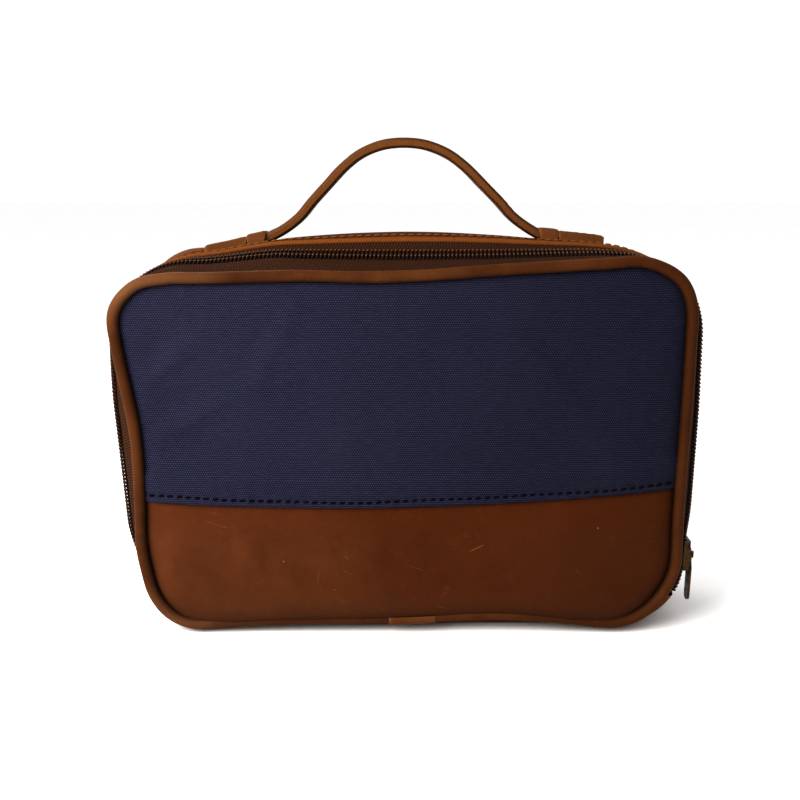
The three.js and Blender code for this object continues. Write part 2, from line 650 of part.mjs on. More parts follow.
// Flat tongue with a barrel that turns on the slider's pin.
function pullSolid() {
  const shape = new THREE.Shape();
  const [neck, wide, round] = [PULL_NECK_HALF_WIDTH, PULL_HALF_WIDTH, 3];
  shape.moveTo(-neck, -0.4);
  shape.lineTo(-neck, -4);
  shape.lineTo(-wide, -7);
  shape.lineTo(-wide, -PULL_LENGTH + round);
  shape.quadraticCurveTo(-wide, -PULL_LENGTH, 0, -PULL_LENGTH);
  shape.quadraticCurveTo(wide, -PULL_LENGTH, wide, -PULL_LENGTH + round);
  shape.lineTo(wide, -7);
  shape.lineTo(neck, -4);
  shape.lineTo(neck, -0.4);
  shape.closePath();
  const extrusion = { depth: PULL_THICKNESS, bevelEnabled: false, curveSegments: 5 };
  const plate = new THREE.ExtrudeGeometry(shape, extrusion);
  const turned = new THREE.Matrix4().makeBasis(
    new THREE.Vector3(0, 1, 0), new THREE.Vector3(0, 0, 1), new THREE.Vector3(1, 0, 0));
  plate.applyMatrix4(turned);
  plate.translate(PIN_OUT - 0.6, 0, 0);
  return solidOf(plate).add(crossRod(1.3, 3.4)).subtract(crossRod(PIN_RADIUS + 0.3, 6));
}

const slider = new THREE.Group();
slider.position.set(zipX, ZIP_Y, SLIDER_CENTRE_Z);
slider.rotation.y = Math.atan2(zipRun.x, zipRun.z);
group.add(slider);
slider.add(addPiece('zip_slider', geometryOf(sliderSolid()), COLOURS.metal, 0.35, 1));
slider.add(addPiece('zip_pull', geometryOf(pullSolid()), COLOURS.metal, 0.35, 1));

export default group;
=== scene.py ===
"""Soft wash bag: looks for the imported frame. Shapes are worked out in millimetres and built in metres."""
import math

import bmesh
import bpy
import numpy as np
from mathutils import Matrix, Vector, noise


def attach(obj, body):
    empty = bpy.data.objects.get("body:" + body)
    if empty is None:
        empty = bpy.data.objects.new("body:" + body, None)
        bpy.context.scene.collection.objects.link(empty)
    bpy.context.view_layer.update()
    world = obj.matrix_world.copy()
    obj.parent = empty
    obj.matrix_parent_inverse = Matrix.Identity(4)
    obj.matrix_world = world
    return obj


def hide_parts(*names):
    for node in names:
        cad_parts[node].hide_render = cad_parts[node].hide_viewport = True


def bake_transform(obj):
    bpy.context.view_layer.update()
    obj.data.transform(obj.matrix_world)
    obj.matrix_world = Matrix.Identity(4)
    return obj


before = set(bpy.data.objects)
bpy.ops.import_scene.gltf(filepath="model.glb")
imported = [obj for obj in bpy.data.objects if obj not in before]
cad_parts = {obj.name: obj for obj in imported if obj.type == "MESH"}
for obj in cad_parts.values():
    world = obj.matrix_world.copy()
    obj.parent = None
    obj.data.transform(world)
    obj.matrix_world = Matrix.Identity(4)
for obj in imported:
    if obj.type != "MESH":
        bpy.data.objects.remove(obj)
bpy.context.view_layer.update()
MM = 0.001

# ---- dimensions, in millimetres -----------------------------------------------------------
PIPING, PIPING_OUT = 2.75, -2.95
FRONT_Y, ZIP_Y, CROWN_Y, BACK_Y = -36.0, -19.5, 5.0, 36.0
ARCH, BASE_FLAT = 5.0, 23.0
OUTLINE_WIDTH, OUTLINE_HEIGHT = 264.0, 180.0
PANEL_FACE, PANEL_DOME, PANEL_TUCK = 36.6, 2.3, 5.4
HEM_HEIGHT, HEM_SLOPE, HEM_CURVE, HEM_LAP = 64, 0.025, 0.00033, 11.0
HEM_STITCH, HEM_PITCH = 2.8, 4.2
OPEN_COVER_LIMIT = 40.3           # a fuller cover would dip under the floor when it lies open
COIL_PITCH, COIL_WIDTH, COIL_HEIGHT, COIL_WIRE, COIL_DEPTH = 1.87, 2.9, 1.5, 0.44, -2.0
STRAP_X, STRAP_Y, STRAP_WIDTH = -1.0, 6.0, 22.0
STRAP_PIVOT, STRAP_LEAN = 188.0, math.tan(math.radians(5))
STITCH_PITCH, TAB_PITCH = 4.0, 3.4
STITCH_ROW = -9.4                 # depth of the row behind the zip
BACK_ROW = 30.3
LINING_FRONT, LINING_BACK, LINING_OUT = -8.6, 31.0, -3.6
# How far the bag has settled: its sides in or out, its zip, its base, its corners and its top.
PINCH, BELLY_HIGH, BELLY_LOW = 1.9, 1.7, 2.2
RIGHT_PINCH, RIGHT_BELLY = 0.8, 0.6
ZIP_BULGE_LEFT, ZIP_BULGE_RIGHT = 3.1, 1.6
BASE_LIFT, BASE_ARCH, BASE_DROOP = 1.0, 1.5, 1.7
SHOULDER_OUT, SHOULDER_UP, LEFT_SHOULDER_OUT = 1.2, 2.0, 2.2
FACE_RISE, FACE_CORNER_RISE, FACE_DIP, FACE_SAG = 1.1, 0.6, 1.0, 4.3
CROWN_SAG_LEFT, CROWN_SAG_RIGHT, STRIP_LIFT = 4.2, 1.2, 1.6
STATIONS = {
    "y": (FRONT_Y, ZIP_Y, CROWN_Y, BACK_Y),
    "left_base": (-122, -129, -130, -122), "left_top": (-135, -140, -141, -135),
    "right_base": (129, 134.8, 135, 129), "right_top": (131, 138.6, 141, 131),
    "top_left": (178, 182.5, 177.5, 178), "top_right": (180, 182.5, 178, 180),
    "rise": (-4.6, -1.8, 9.4, -4.6), "side": (0.8, 0, 1.5, 0.8),
    "r_top": (33, 40, 51, 33), "r_left": (26, 38, 38, 26), "r_right": (37, 26, 30, 37),
}
CORNER, HALF_BASE, SIDE, TOP = 24, 20, 30, 64
SIDE_RIGHT = HALF_BASE + CORNER
TOP_RIGHT = SIDE_RIGHT + SIDE
TOP_LEFT = TOP_RIGHT + CORNER + TOP
BASE_LEFT = TOP_LEFT + CORNER + SIDE
LOOP = BASE_LEFT + CORNER + HALF_BASE
ZIP_FROM, ZIP_TO = HALF_BASE + CORNER * 2 / 3, BASE_LEFT + CORNER / 3
LOW_LEFT, LOW_RIGHT = BASE_LEFT + CORNER / 2, HALF_BASE + CORNER / 2      # middles of the corners
HIGH_LEFT, HIGH_RIGHT = TOP_LEFT + CORNER / 2, TOP_RIGHT + CORNER / 2


# ---- the bag's outline --------------------------------------------------------------------
def station(key, y):
    """The value of one outline dimension at depth y, on a smooth curve through the stations."""
    ys, vs = STATIONS["y"], STATIONS[key]
    y = min(max(y, ys[0]), ys[-1])
    i = 0
    while i < len(ys) - 2 and y > ys[i + 1]:
        i += 1

    def slope(j):
        a, b = max(j - 1, 0), min(j + 1, len(ys) - 1)
        return (vs[b] - vs[a]) / (ys[b] - ys[a])

    span = ys[i + 1] - ys[i]
    t = (y - ys[i]) / span
    near = (2 * t**3 - 3 * t**2 + 1) * vs[i] + (t**3 - 2 * t**2 + t) * span * slope(i)
    far = (3 * t**2 - 2 * t**3) * vs[i + 1] + (t**3 - t**2) * span * slope(i + 1)
    return near + far


def outline(y):
    """The rounded outline at depth y, from mid-base to the right, over the top and back."""
    width, height = OUTLINE_WIDTH, OUTLINE_HEIGHT
    r_right, r_top, r_left = station("r_right", y), station("r_top", y), station("r_left", y)
    corners = [(width - r_right, r_right, r_right, -90), (width - r_top, height - r_top, r_top, 0),
               (r_top, height - r_top, r_top, 90), (r_left, r_left, r_left, 180)]
    arcs = []
    for x, z, r, start in corners:
        angle = np.radians(start + 90 * np.arange(CORNER + 1) / CORNER)
        arcs.append(np.stack([x + r * np.cos(angle), z + r * np.sin(angle)], axis=1))
    middle = np.array([width / 2, 0.0])

    def straight(a, b, steps):
        return a + (b - a) * (np.arange(steps) / steps)[:, None]

    pieces = [straight(middle, arcs[0][0], HALF_BASE)]
    for i, steps in enumerate((SIDE, TOP, SIDE)):
        pieces += [arcs[i][:-1], straight(arcs[i][-1], arcs[i + 1][0], steps)]
    flat = np.concatenate(pieces + [arcs[3][:-1], straight(arcs[3][-1], middle, HALF_BASE)])
    u, v = flat[:, 0] / width, flat[:, 1] / height
    left = station("left_base", y) * (1 - v) + station("left_top", y) * v
    right = station("right_base", y) * (1 - v) + station("right_top", y) * v
    mid = (1 - (2 * u - 1) ** 2) ** 2
    top = station("top_left", y) * (1 - u) + station("top_right", y) * u + station("rise", y) * mid
    lift = min(1.0, max(0.0, (abs(y) - BASE_FLAT) / (BACK_Y - BASE_FLAT)))
    x = left * (1 - u) + right * u + station("side", y) * 4 * v * (1 - v) * (2 * u - 1)
    z = v * top + (1 - v) * ARCH * lift**2 * mid
    return slumped(x, y, z)


def ease(t):
    t = np.clip(t, 0, 1)
    return t * t * (3 - 2 * t)


def hump(t, centre, width):
    return np.exp(-((t - centre) / width) ** 2)


def slumped(x, y, z):
    """How the soft bag has settled: its front sides pull in, and the zip bellies out between them."""
    front = ease((-25 - y) / 9)
    zip_line = hump(y, ZIP_Y, 8.0)
    at_left, at_right = ease((-x - 70) / 40), ease((x - 70) / 40)
    left_side = PINCH * hump(z, 97, 25) - BELLY_HIGH * hump(z, 143, 24) - BELLY_LOW * hump(z, 42, 18)
    right_side = RIGHT_PINCH * hump(z, 37, 15) + RIGHT_BELLY * hump(z, 125, 32)
    x = x + front * (at_left * left_side + at_right * right_side)
    x = x - zip_line * at_left * ZIP_BULGE_LEFT * ease((z - 30) / 20) * ease((166 - z) / 60)
    x = x + zip_line * at_right * ZIP_BULGE_RIGHT * ease((z - 34) / 26) * ease((158 - z) / 60)
    low = front * ease((12 - z) / 6)
    arch = BASE_LIFT * ease((118 - abs(x)) / 40) + BASE_ARCH * hump(x, 47, 30)
    z = z + low * (arch - BASE_DROOP * hump(x, -12, 42))
    shoulder = hump(x, 127, 16) * hump(z, 163, 16)
    left_shoulder = hump(x, -124, 14) * hump(z, 157, 13)
    x = x + front * (SHOULDER_OUT * shoulder - LEFT_SHOULDER_OUT * left_shoulder)
    z = z + front * SHOULDER_UP * shoulder
    at_top = ease((z - 150) / 22)
    face_top = FACE_RISE * ease((x - 5) / 45) + FACE_CORNER_RISE * ease((x - 90) / 20)
    face_top = face_top - FACE_DIP * hump(x, -22, 28)
    face_top = face_top - FACE_SAG * ease((-30 - x) / 75) * (1 - 0.65 * ease((-x - 108) / 18))
    crown_top = -CROWN_SAG_LEFT * ease((-55 - x) / 45) * (1 + 0.3 * ease((y + 8) / 12))
    crown_top = crown_top - CROWN_SAG_RIGHT * ease((x - 80) / 32)
    strip_edge = STRIP_LIFT * hump(x, 10, 60) * ease((y + 14.5) / 3) * ease((5 - y) / 15)
    z = z + at_top * (front * face_top + (1 - front) * ease((34 - y) / 12) * crown_top + strip_edge)
    return np.stack([x, z], axis=1)


TABLE_STEP = 1.0
TABLE_Y = np.arange(-40.0, 40.5, TABLE_STEP)
TABLE = np.stack([outline(y) for y in TABLE_Y])
RUN = np.roll(TABLE, -1, axis=1) - np.roll(TABLE, 1, axis=1)
RUN /= np.linalg.norm(RUN, axis=2, keepdims=True)
NORMALS = np.stack([RUN[:, :, 1], -RUN[:, :, 0]], axis=2)


def skin(k, y, out=0.0):
    """Points and outward directions on the bag's skin at loop position k and depth y, moved out."""
    k, y, out = np.broadcast_arrays(*(np.asarray(value, float) for value in (k, y, out)))
    row = np.clip((y - TABLE_Y[0]) / TABLE_STEP, 0, len(TABLE_Y) - 1.001)
    r, c = np.floor(row).astype(int), np.floor(k).astype(int)
    fr, fc = (row - r)[..., None], (k - c)[..., None]

    def look(table):
        a = table[r, c % LOOP] * (1 - fc) + table[r, (c + 1) % LOOP] * fc
        b = table[r + 1, c % LOOP] * (1 - fc) + table[r + 1, (c + 1) % LOOP] * fc
        return a * (1 - fr) + b * fr

    place, normal = look(TABLE), look(NORMALS)
    normal = normal / np.linalg.norm(normal, axis=-1, keepdims=True)
    place = place + normal * out[..., None]
    points = np.stack([place[..., 0], y, place[..., 1]], axis=-1)
    return points, np.stack([normal[..., 0], np.zeros_like(y), normal[..., 1]], axis=-1)


def skin_grid(k, ys, outs):
    """Rows of points on the skin: one row for each loop position, one column for each depth."""
    return np.stack([skin(k, y, out)[0] for y, out in zip(ys, outs)], axis=1)


def along_skin(k, y, out):
    """The skin's direction at each loop position."""
    return skin(k + 0.2, y, out)[0] - skin(k - 0.2, y, out)[0]


def upward(k):
    """1 where the zip's line faces up, 0 where it runs down the sides."""
    return ease((skin(k, ZIP_Y)[1][..., 2] - 0.5) / 0.4)


def spaced(k0, k1, y, out, pitch):
    """Loop positions spaced evenly along the skin's line at depth y."""
    k = np.linspace(k0, k1, 2400)
    run = distance_along(skin(k, y, out)[0])
    count = int(run[-1] / pitch)
    return np.interp((np.arange(count) + 0.5) * run[-1] / count, run, k)


def distance_along(points):
    return np.concatenate([[0], np.cumsum(np.linalg.norm(np.diff(points, axis=0), axis=1))])


def resampled(points, at, run):
    """The line of points read off at the given distances along it."""
    return np.stack([np.interp(at, run, points[:, axis]) for axis in range(points.shape[1])], axis=1)


def wobble(points, size, seed):
    """Smooth noise between about -1 and 1 at the given feature size, for rows of points."""
    flat = points.reshape(-1, 3) / size + seed * 7.31
    values = [noise.noise(Vector(p)) for p in flat]
    return np.array(values).reshape(points.shape[:-1])


# ---- mesh helpers -------------------------------------------------------------------------
def make_mesh(name, verts, faces, material, uvs=None, attributes=None):
    mesh = bpy.data.meshes.new(name)
    mesh.from_pydata((verts * MM).tolist(), [], faces.tolist())
    if uvs is not None:
        layer = mesh.uv_layers.new(name="UVMap")
        layer.data.foreach_set("uv", uvs.astype(np.float32).ravel())
    for key, values in (attributes or {}).items():
        attribute = mesh.attributes.new(key, "FLOAT", "POINT")
        attribute.data.foreach_set("value", values.astype(np.float32).ravel())
    mesh.polygons.foreach_set("use_smooth", [True] * len(mesh.polygons))
    mesh.update()
    obj = bpy.data.objects.new(name, mesh)
    bpy.context.scene.collection.objects.link(obj)
    for m in material if isinstance(material, (list, tuple)) else [material]:
        mesh.materials.append(m)
    return obj


def grid_piece(name, grid, material, round_u=False, round_v=False, caps=False, flip=False,
               attributes=None):
    """A piece from rows of points. UVs are in millimetres along the rows and across them."""
    rows, columns = grid.shape[:2]
    steps_u = np.linalg.norm(np.diff(grid, axis=0, append=grid[:1]), axis=2).mean(axis=1)
    steps_v = np.linalg.norm(np.diff(grid, axis=1, append=grid[:, :1]), axis=2).mean(axis=0)
    u = np.concatenate([[0], np.cumsum(steps_u)])
    v = np.concatenate([[0], np.cumsum(steps_v)])
    last_row, last_column = (rows if round_u else rows - 1), (columns if round_v else columns - 1)
    i, j = np.indices((last_row, last_column)).reshape(2, -1)
    corners = [(i, j), (i, j + 1), (i + 1, j + 1), (i + 1, j)]
    if flip:
        corners = corners[::-1]
    faces = np.stack([(a % rows) * columns + b % columns for a, b in corners], axis=1)
    uvs = np.stack([np.stack([u[a], v[b]], axis=-1) for a, b in corners], axis=1).reshape(-1, 2)
    obj = make_mesh(name, grid.reshape(-1, 3), faces, material, uvs, attributes)
    if caps:
        bm = bmesh.new()
        bm.from_mesh(obj.data)
        bmesh.ops.holes_fill(bm, edges=[e for e in bm.edges if e.is_boundary], sides=0)
        bmesh.ops.recalc_face_normals(bm, faces=bm.faces)
        bm.to_mesh(obj.data)
        bm.free()
    return obj


def thicken(obj, thickness, bevel=0.0):
    """Gives an open surface a thickness on its outer side, with rounded rims."""
    solid = obj.modifiers.new("thickness", "SOLIDIFY")
    solid.thickness = thickness * MM
    solid.offset = 1
    if bevel:
        edge = obj.modifiers.new("rounding", "BEVEL")
        edge.width = bevel * MM
        edge.segments = 3
        edge.limit_method = "ANGLE"
        edge.angle_limit = math.radians(50)
    return obj


def finished(obj, body, slot, *nodes):
    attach(obj, body)
    if nodes:
        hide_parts(*nodes)
    return obj


def beads(name, places, along, up, size, material, slant=10.0):
    """Small rounded stitches, each lying along its own direction, turned by the slant in degrees."""
    length, width, height = size
    rings, sides = 7, 6
    t = np.linspace(-1, 1, rings)
    girth = np.sqrt(np.clip(1 - t**4, 0.02, 1))
    angle = 2 * np.pi * np.arange(sides) / sides
    shape = np.stack([
        np.repeat(t * length / 2, sides),
        (girth[:, None] * np.cos(angle) * width / 2).ravel(),
        (girth[:, None] * np.sin(angle) * height / 2).ravel()], axis=1)
    along = along / np.linalg.norm(along, axis=1, keepdims=True)
    across = np.cross(up, along)
    across /= np.linalg.norm(across, axis=1, keepdims=True)
    up = np.cross(along, across)
    tilt = math.radians(slant)
    turned = along * math.cos(tilt) + across * math.sin(tilt)
    across = across * math.cos(tilt) - along * math.sin(tilt)
    shape = shape[None]
    verts = places[:, None] + shape[..., :1] * turned[:, None] + shape[..., 1:2] * across[:, None]
    verts = verts + shape[..., 2:] * up[:, None]
    count = rings * sides
    faces = []
    for r in range(rings - 1):
        for s in range(sides):
            n = (s + 1) % sides
            faces.append([r * sides + s, r * sides + n, (r + 1) * sides + n, (r + 1) * sides + s])
    faces = np.array(faces)
    all_faces = (faces[None] + (np.arange(len(places)) * count)[:, None, None]).reshape(-1, 4)
    return make_mesh(name, verts.reshape(-1, 3), all_faces, material)


def sew(name, body, places, along, up, size, thread="brown_thread", slant=10.0):
    finished(beads(name, places, along, up, size, M[thread], slant), body, "zip_textile")


def sewn_line(points, pitch):
    """Evenly spaced places along a line of points, with their directions."""
    run = distance_along(points)
    count = max(2, int(run[-1] / pitch))
    at = (np.arange(count) + 0.5) * run[-1] / count
    return resampled(points, at, run), resampled(points, at + 0.4, run) - resampled(points, at - 0.4, run)


def facing(direction, count):
    return np.tile(np.array(direction, float), (count, 1))


# ---- materials ----------------------------------------------------------------------------
class Shader:
    """A node material with short ways to add and join its nodes."""

    def __init__(self, name, roughness, metallic=0.0):
        self.material = bpy.data.materials.new(name)
        self.material.use_nodes = True
        self.tree = self.material.node_tree
        self.surface = self.tree.nodes["Principled BSDF"]
        self.surface.inputs["Roughness"].default_value = roughness
        self.surface.inputs["Metallic"].default_value = metallic

    def add(self, kind, links=None, **values):
        node = self.tree.nodes.new("ShaderNode" + kind)
        for key, value in values.items():
            if hasattr(node, key):
                setattr(node, key, value)
            else:
                node.inputs[key.replace("_", " ")].default_value = value
        for key, socket in (links or {}).items():
            self.tree.links.new(socket, node.inputs[key])
        return node

    def join(self, socket, name):
        self.tree.links.new(socket, self.surface.inputs[name])

    def done(self, gloss):
        self.surface.inputs["Specular IOR Level"].default_value = gloss
        return self.material

    def times(self, a, b):
        return self.math("MULTIPLY", a, b)

    def scaled(self, a, factor, shift):
        return self.math("MULTIPLY_ADD", a, factor, shift)

    def ridge(self, value):
        """A rounded ridge for every whole step of the value."""
        return self.math("ABSOLUTE", self.math("SINE", self.times(value, math.pi)))

    def math(self, operation, a, b=None, c=None):
        node = self.add("Math", operation=operation)
        for i, value in enumerate((a, b, c)):
            if value is None:
                continue
            if isinstance(value, (int, float)):
                node.inputs[i].default_value = value
            else:
                self.tree.links.new(value, node.inputs[i])
        return node.outputs[0]

    def place(self, scale=1.0, flat=False):
        """Coordinates in millimetres: on the piece in space, or along its own rows."""
        source = self.add("TexCoord").outputs["UV" if flat else "Object"]
        factor = scale * (1.0 if flat else 1000.0)
        return self.stretched(source, factor, factor, factor)

    def noise(self, vector, scale, detail=3.0, distortion=0.0, roughness=0.55):
        node = self.add("TexNoise", {"Vector": vector}, Scale=scale, Detail=detail, Distortion=distortion,
                        Roughness=roughness)
        return node.outputs["Fac"]

    def stretched(self, vector, x, y, z):
        return self.add("Mapping", {"Vector": vector}, Scale=(x, y, z)).outputs[0]

    def axes(self, vector):
        return self.add("SeparateXYZ", {"Vector": vector}).outputs

    def cells(self, vector, scale, feature="F1", out="Distance"):
        return self.add("TexVoronoi", {"Vector": vector}, feature=feature, Scale=scale).outputs[out]

    def ramp(self, value, *stops):
        node = self.add("ValToRGB", {"Fac": value})
        elements = node.color_ramp.elements
        while len(elements) < len(stops):
            elements.new(0.5)
        for element, (position, colour) in zip(elements, stops):
            element.position = position
            element.color = (*colour, 1) if len(colour) == 3 else colour
        return node.outputs["Color"]

    def level(self, value, low, high):
        """0 below low, 1 above high, smooth between; low may be the larger."""
        node = self.add("MapRange", {"Value": value}, interpolation_type="SMOOTHSTEP")
        node.inputs["From Min"].default_value = low
        node.inputs["From Max"].default_value = high
        return node.outputs["Result"]

    def mix(self, factor, a, b, blend="MIX"):
        node = self.add("Mix", data_type="RGBA", blend_type=blend)
        for socket, value in ((node.inputs[0], factor), (node.inputs[6], a), (node.inputs[7], b)):
            if isinstance(value, (int, float)):
                socket.default_value = value
            elif isinstance(value, tuple):
                socket.default_value = (*value, 1)
            else:
                self.tree.links.new(value, socket)
        return node.outputs[2]

    def warped(self, vector, at, amount):
        """The vector shifted by another one, for lines that wander."""
        push = self.add("VectorMath", {0: at}, operation="SCALE")
        push.inputs["Scale"].default_value = amount
        return self.add("VectorMath", {0: vector, 1: push.outputs[0]}, operation="ADD").outputs[0]

    def bump(self, *layers):
        """Stacks (height, distance in millimetres) layers into the surface's normal."""
        normal = None
        for height, distance in layers:
            node = self.add("Bump", {"Height": height}, Distance=distance * MM)
            if normal is not None:
                self.tree.links.new(normal, node.inputs["Normal"])
            normal = node.outputs[0]
        self.join(normal, "Normal")


VIEW_GAMMA = 0.75
LIGHT_LEVEL = 3.0


def tone(r, g, b):
    """Surface colour that shows as these 0-255 values under the scene's light and view gamma."""
    linear = (((c / 255 + 0.055) / 1.055) ** 2.4 if c > 10 else c / 255 / 12.92 for c in (r, g, b))
    return tuple(value ** VIEW_GAMMA / LIGHT_LEVEL for value in linear)


def leather(name, base, dark, light, edge, roughness=0.5, grain=0.09, marks=1.0, zones=None,
            gloss=0.035):
    """Leather with clouded colour, scuffs, creases, scratches and specks, and worn edges; the zones and a
    darkening attribute add painted shade.
    """
    base, dark, light, edge = tone(*base), tone(*dark), tone(*light), tone(*edge)
    s = Shader(name, roughness)
    at = s.place()
    broad = s.noise(at, 0.013, 3, 0.6)
    cloud = s.noise(at, 0.055, 4, 0.4)
    colour = s.ramp(s.scaled(cloud, 0.35, s.times(broad, 0.65)),
                    (0.3, dark), (0.5, base), (0.72, light))
    if zones:
        colour = zones(s, at, colour)
    scuff = s.level(s.noise(at, 0.16, 6, 1.2, 0.7), 0.56, 0.74)
    colour = s.mix(s.times(scuff, 0.22 * marks), colour, light)
    crease_cells = s.cells(s.stretched(at, 1.0, 1.0, 0.35), 0.045, "DISTANCE_TO_EDGE")
    crease = s.times(s.level(crease_cells, 0.012, 0.0), s.level(s.noise(at, 0.03, 2), 0.56, 0.66))
    colour = s.mix(s.times(crease, 0.55 * marks), colour, dark)
    slanted = s.add("Mapping", {"Vector": at}, Rotation=(0.3, 0.9, 0.5), Scale=(0.25, 1.0, 1.0)).outputs[0]
    line_cells = s.cells(s.warped(slanted, at, 0.35), 0.06, "DISTANCE_TO_EDGE")
    scratch = s.times(s.level(line_cells, 0.006, 0.0), s.level(s.noise(at, 0.05, 2), 0.6, 0.7))
    colour = s.mix(s.times(scratch, 0.5 * marks), colour, edge)
    speck = s.level(s.cells(at, 0.09), 0.045, 0.03)
    speck = s.times(speck, s.level(s.noise(at, 0.11, 1), 0.5, 0.6))
    colour = s.mix(s.times(speck, 0.6 * marks), colour, edge)
    rim = s.add("Attribute", attribute_name="edge").outputs["Fac"]
    rim = s.times(rim, s.scaled(s.noise(at, 0.35, 4), 0.6, 0.6))
    colour = s.mix(rim, colour, edge)
    # Painted shade: seams and laps are darkened from a per-vertex attribute.
    painted_shade = s.add("Attribute", attribute_name="painted_shade").outputs["Fac"]
    colour = s.mix(painted_shade, colour, tone(24, 10, 4))
    s.join(colour, "Base Color")
    pores = s.cells(at, 1.25, "F1")
    wrinkle = s.noise(at, 0.5, 6, 0.3, 0.65)
    s.join(s.scaled(s.noise(at, 0.4, 5), 0.3, roughness - 0.14), "Roughness")
    s.bump((s.noise(at, 0.07, 3, 0.5), 0.5), (wrinkle, grain * 2), (pores, grain),
           (s.math("SUBTRACT", 1.0, crease), 0.12))
    return s.done(gloss)


def panel_zones(s, at, colour):
    """Lighter towards the left edge and darker to the right, a painted shade for the key light falling from
    the left; reddish below the hem, darker in the lower middle.
    """
    split = s.axes(at)
    drift = s.scaled(s.noise(at, 0.03, 2), 60.0, -30.0)
    x, z = s.math("ADD", split[0], drift), s.scaled(drift, 0.3, split[2])
    # Painted shade: the leather darkens towards the right, away from the key light.
    colour = s.mix(s.times(s.level(x, -95.0, 20.0), 0.72), colour, tone(82, 31, 4))
    colour = s.mix(s.times(s.level(x, 40.0, 120.0), 0.35), colour, tone(60, 22, 6))
    colour = s.mix(s.times(s.level(z, 40.0, 66.0), 0.35), colour, tone(98, 36, 3))
    return s.mix(s.times(s.level(z, 28.0, 4.0), 0.5), colour, tone(86, 46, 27))


def piping_zones(s, at, colour):
    """Paler at the upper and lower left corners; darker and redder to the right, a painted shade away from
    the key light on the left.
    """
    split = s.axes(at)
    drift = s.scaled(s.noise(at, 0.035, 2), 40.0, -20.0)
    x, z = s.math("ADD", split[0], drift), s.math("ADD", split[2], drift)
    at_corner = s.math("MAXIMUM", s.level(z, 138.0, 166.0), s.level(z, 34.0, 8.0))
    pale_left_corners = s.times(s.level(x, -70.0, -122.0), at_corner)
    colour = s.mix(s.times(pale_left_corners, 0.8), colour, tone(148, 92, 54))
    # Painted shade: darker and redder towards the right, away from the key light.
    return s.mix(s.times(s.level(x, 30.0, 130.0), 0.5), colour, tone(84, 36, 8))


def staggered(s, pitch_u, pitch_v):
    """Height of a canvas whose yarns show as short dashes, offset from row to row."""
    split = s.axes(s.place(flat=True))
    wander = s.noise(s.place(), 0.12, 2)
    v = s.scaled(wander, 0.8, s.math("DIVIDE", split[1], pitch_v))
    row = s.math("FLOOR", v)
    u = s.scaled(wander, 0.8, s.math("DIVIDE", split[0], pitch_u))
    u = s.scaled(row, 0.5, u)
    dash = s.ridge(u)
    rib = s.ridge(v)
    return s.times(dash, rib)


def woven(s, pitch_u, pitch_v):
    """Height of a plain weave along the piece's rows, and a mask of which yarn is on top."""
    split = s.axes(s.place(flat=True))
    wander = s.noise(s.place(), 0.25, 2)
    u = s.scaled(wander, 0.35, s.math("DIVIDE", split[0], pitch_u))
    v = s.scaled(wander, 0.35, s.math("DIVIDE", split[1], pitch_v))
    warp = s.ridge(u)
    weft = s.ridge(v)
    parity = s.math("ADD", s.math("FLOOR", u), s.math("FLOOR", v))
    over = s.math("GREATER_THAN", s.math("ABSOLUTE", s.math("MODULO", parity, 2.0)), 0.5)
    under = s.math("SUBTRACT", 1.0, over)
    height = s.math("ADD", s.times(over, warp), s.times(under, weft))
    return height, over


def canvas():
    s = Shader("navy_canvas", 0.85)
    height = staggered(s, 1.08, 0.98)
    at = s.place()
    yarn = s.noise(s.stretched(s.place(flat=True), 0.2, 1.3, 1.0), 1.0, 2)
    shade = s.ramp(s.scaled(height, 0.66, s.times(yarn, 0.34)),
                   (0.12, tone(20, 20, 39)), (0.5, tone(38, 38, 63)), (0.9, tone(84, 86, 124)))
    cloud = s.level(s.noise(at, 0.02, 3), 0.35, 0.7)
    shade = s.mix(s.times(cloud, 0.1), shade, tone(70, 70, 98))
    split = s.axes(at)
    # Painted shade: the canvas darkens towards the right, away from the key light.
    shade = s.mix(s.times(s.level(split[0], -80.0, 125.0), 0.38), shade, tone(14, 14, 27))
    lint = s.level(s.cells(at, 0.06), 0.03, 0.018)
    lint = s.times(lint, s.level(s.noise(at, 0.09, 1), 0.55, 0.6))
    shade = s.mix(s.times(lint, 0.5), shade, tone(190, 186, 190))
    s.join(shade, "Base Color")
    s.bump((s.noise(at, 0.05, 3), 0.8), (height, 0.2), (s.noise(at, 3.0, 2), 0.05))
    return s.done(0.04)


def herringbone():
    s = Shader("herringbone_tape", 0.85)
    split = s.axes(s.place(flat=True))
    along, across = split[0], split[1]
    turn = s.math("PINGPONG", across, 1.7)
    rib = s.math("SINE", s.times(s.scaled(turn, 0.9, along), 2 * math.pi / 1.3))
    rib = s.scaled(rib, 0.5, 0.5)
    fibre = s.noise(s.place(), 2.2, 2)
    shade = s.ramp(s.scaled(rib, 0.7, s.times(fibre, 0.3)),
                   (0.2, tone(36, 14, 6)), (0.5, tone(54, 26, 13)), (0.8, tone(108, 62, 36)))
    s.join(shade, "Base Color")
    s.bump((rib, 0.22), (fibre, 0.05))
    return s.done(0.04)


def cotton(name, dark, light, pitch=0.6):
    s = Shader(name, 0.9)
    height, over = woven(s, pitch, pitch)
    at = s.place()
    shade = s.ramp(s.scaled(height, 0.6, s.times(s.noise(at, 0.12, 3), 0.4)),
                   (0.15, tone(*dark)), (0.9, tone(*light)))
    s.join(s.mix(s.times(over, 0.2), shade, tone(*dark)), "Base Color")
    s.bump((s.noise(at, 0.05, 3), 0.8), (height, 0.1))
    return s.done(0.15)


def thread(name, colour, dark):
    s = Shader(name, 0.6)
    at = s.place()
    twist = s.add("TexWave", {"Vector": at}, bands_direction="DIAGONAL", Scale=1.1, Distortion=1.0)
    twist = twist.outputs["Fac"]
    s.join(s.mix(twist, tone(*dark), tone(*colour)), "Base Color")
    s.bump((twist, 0.06))
    return s.done(0.02)


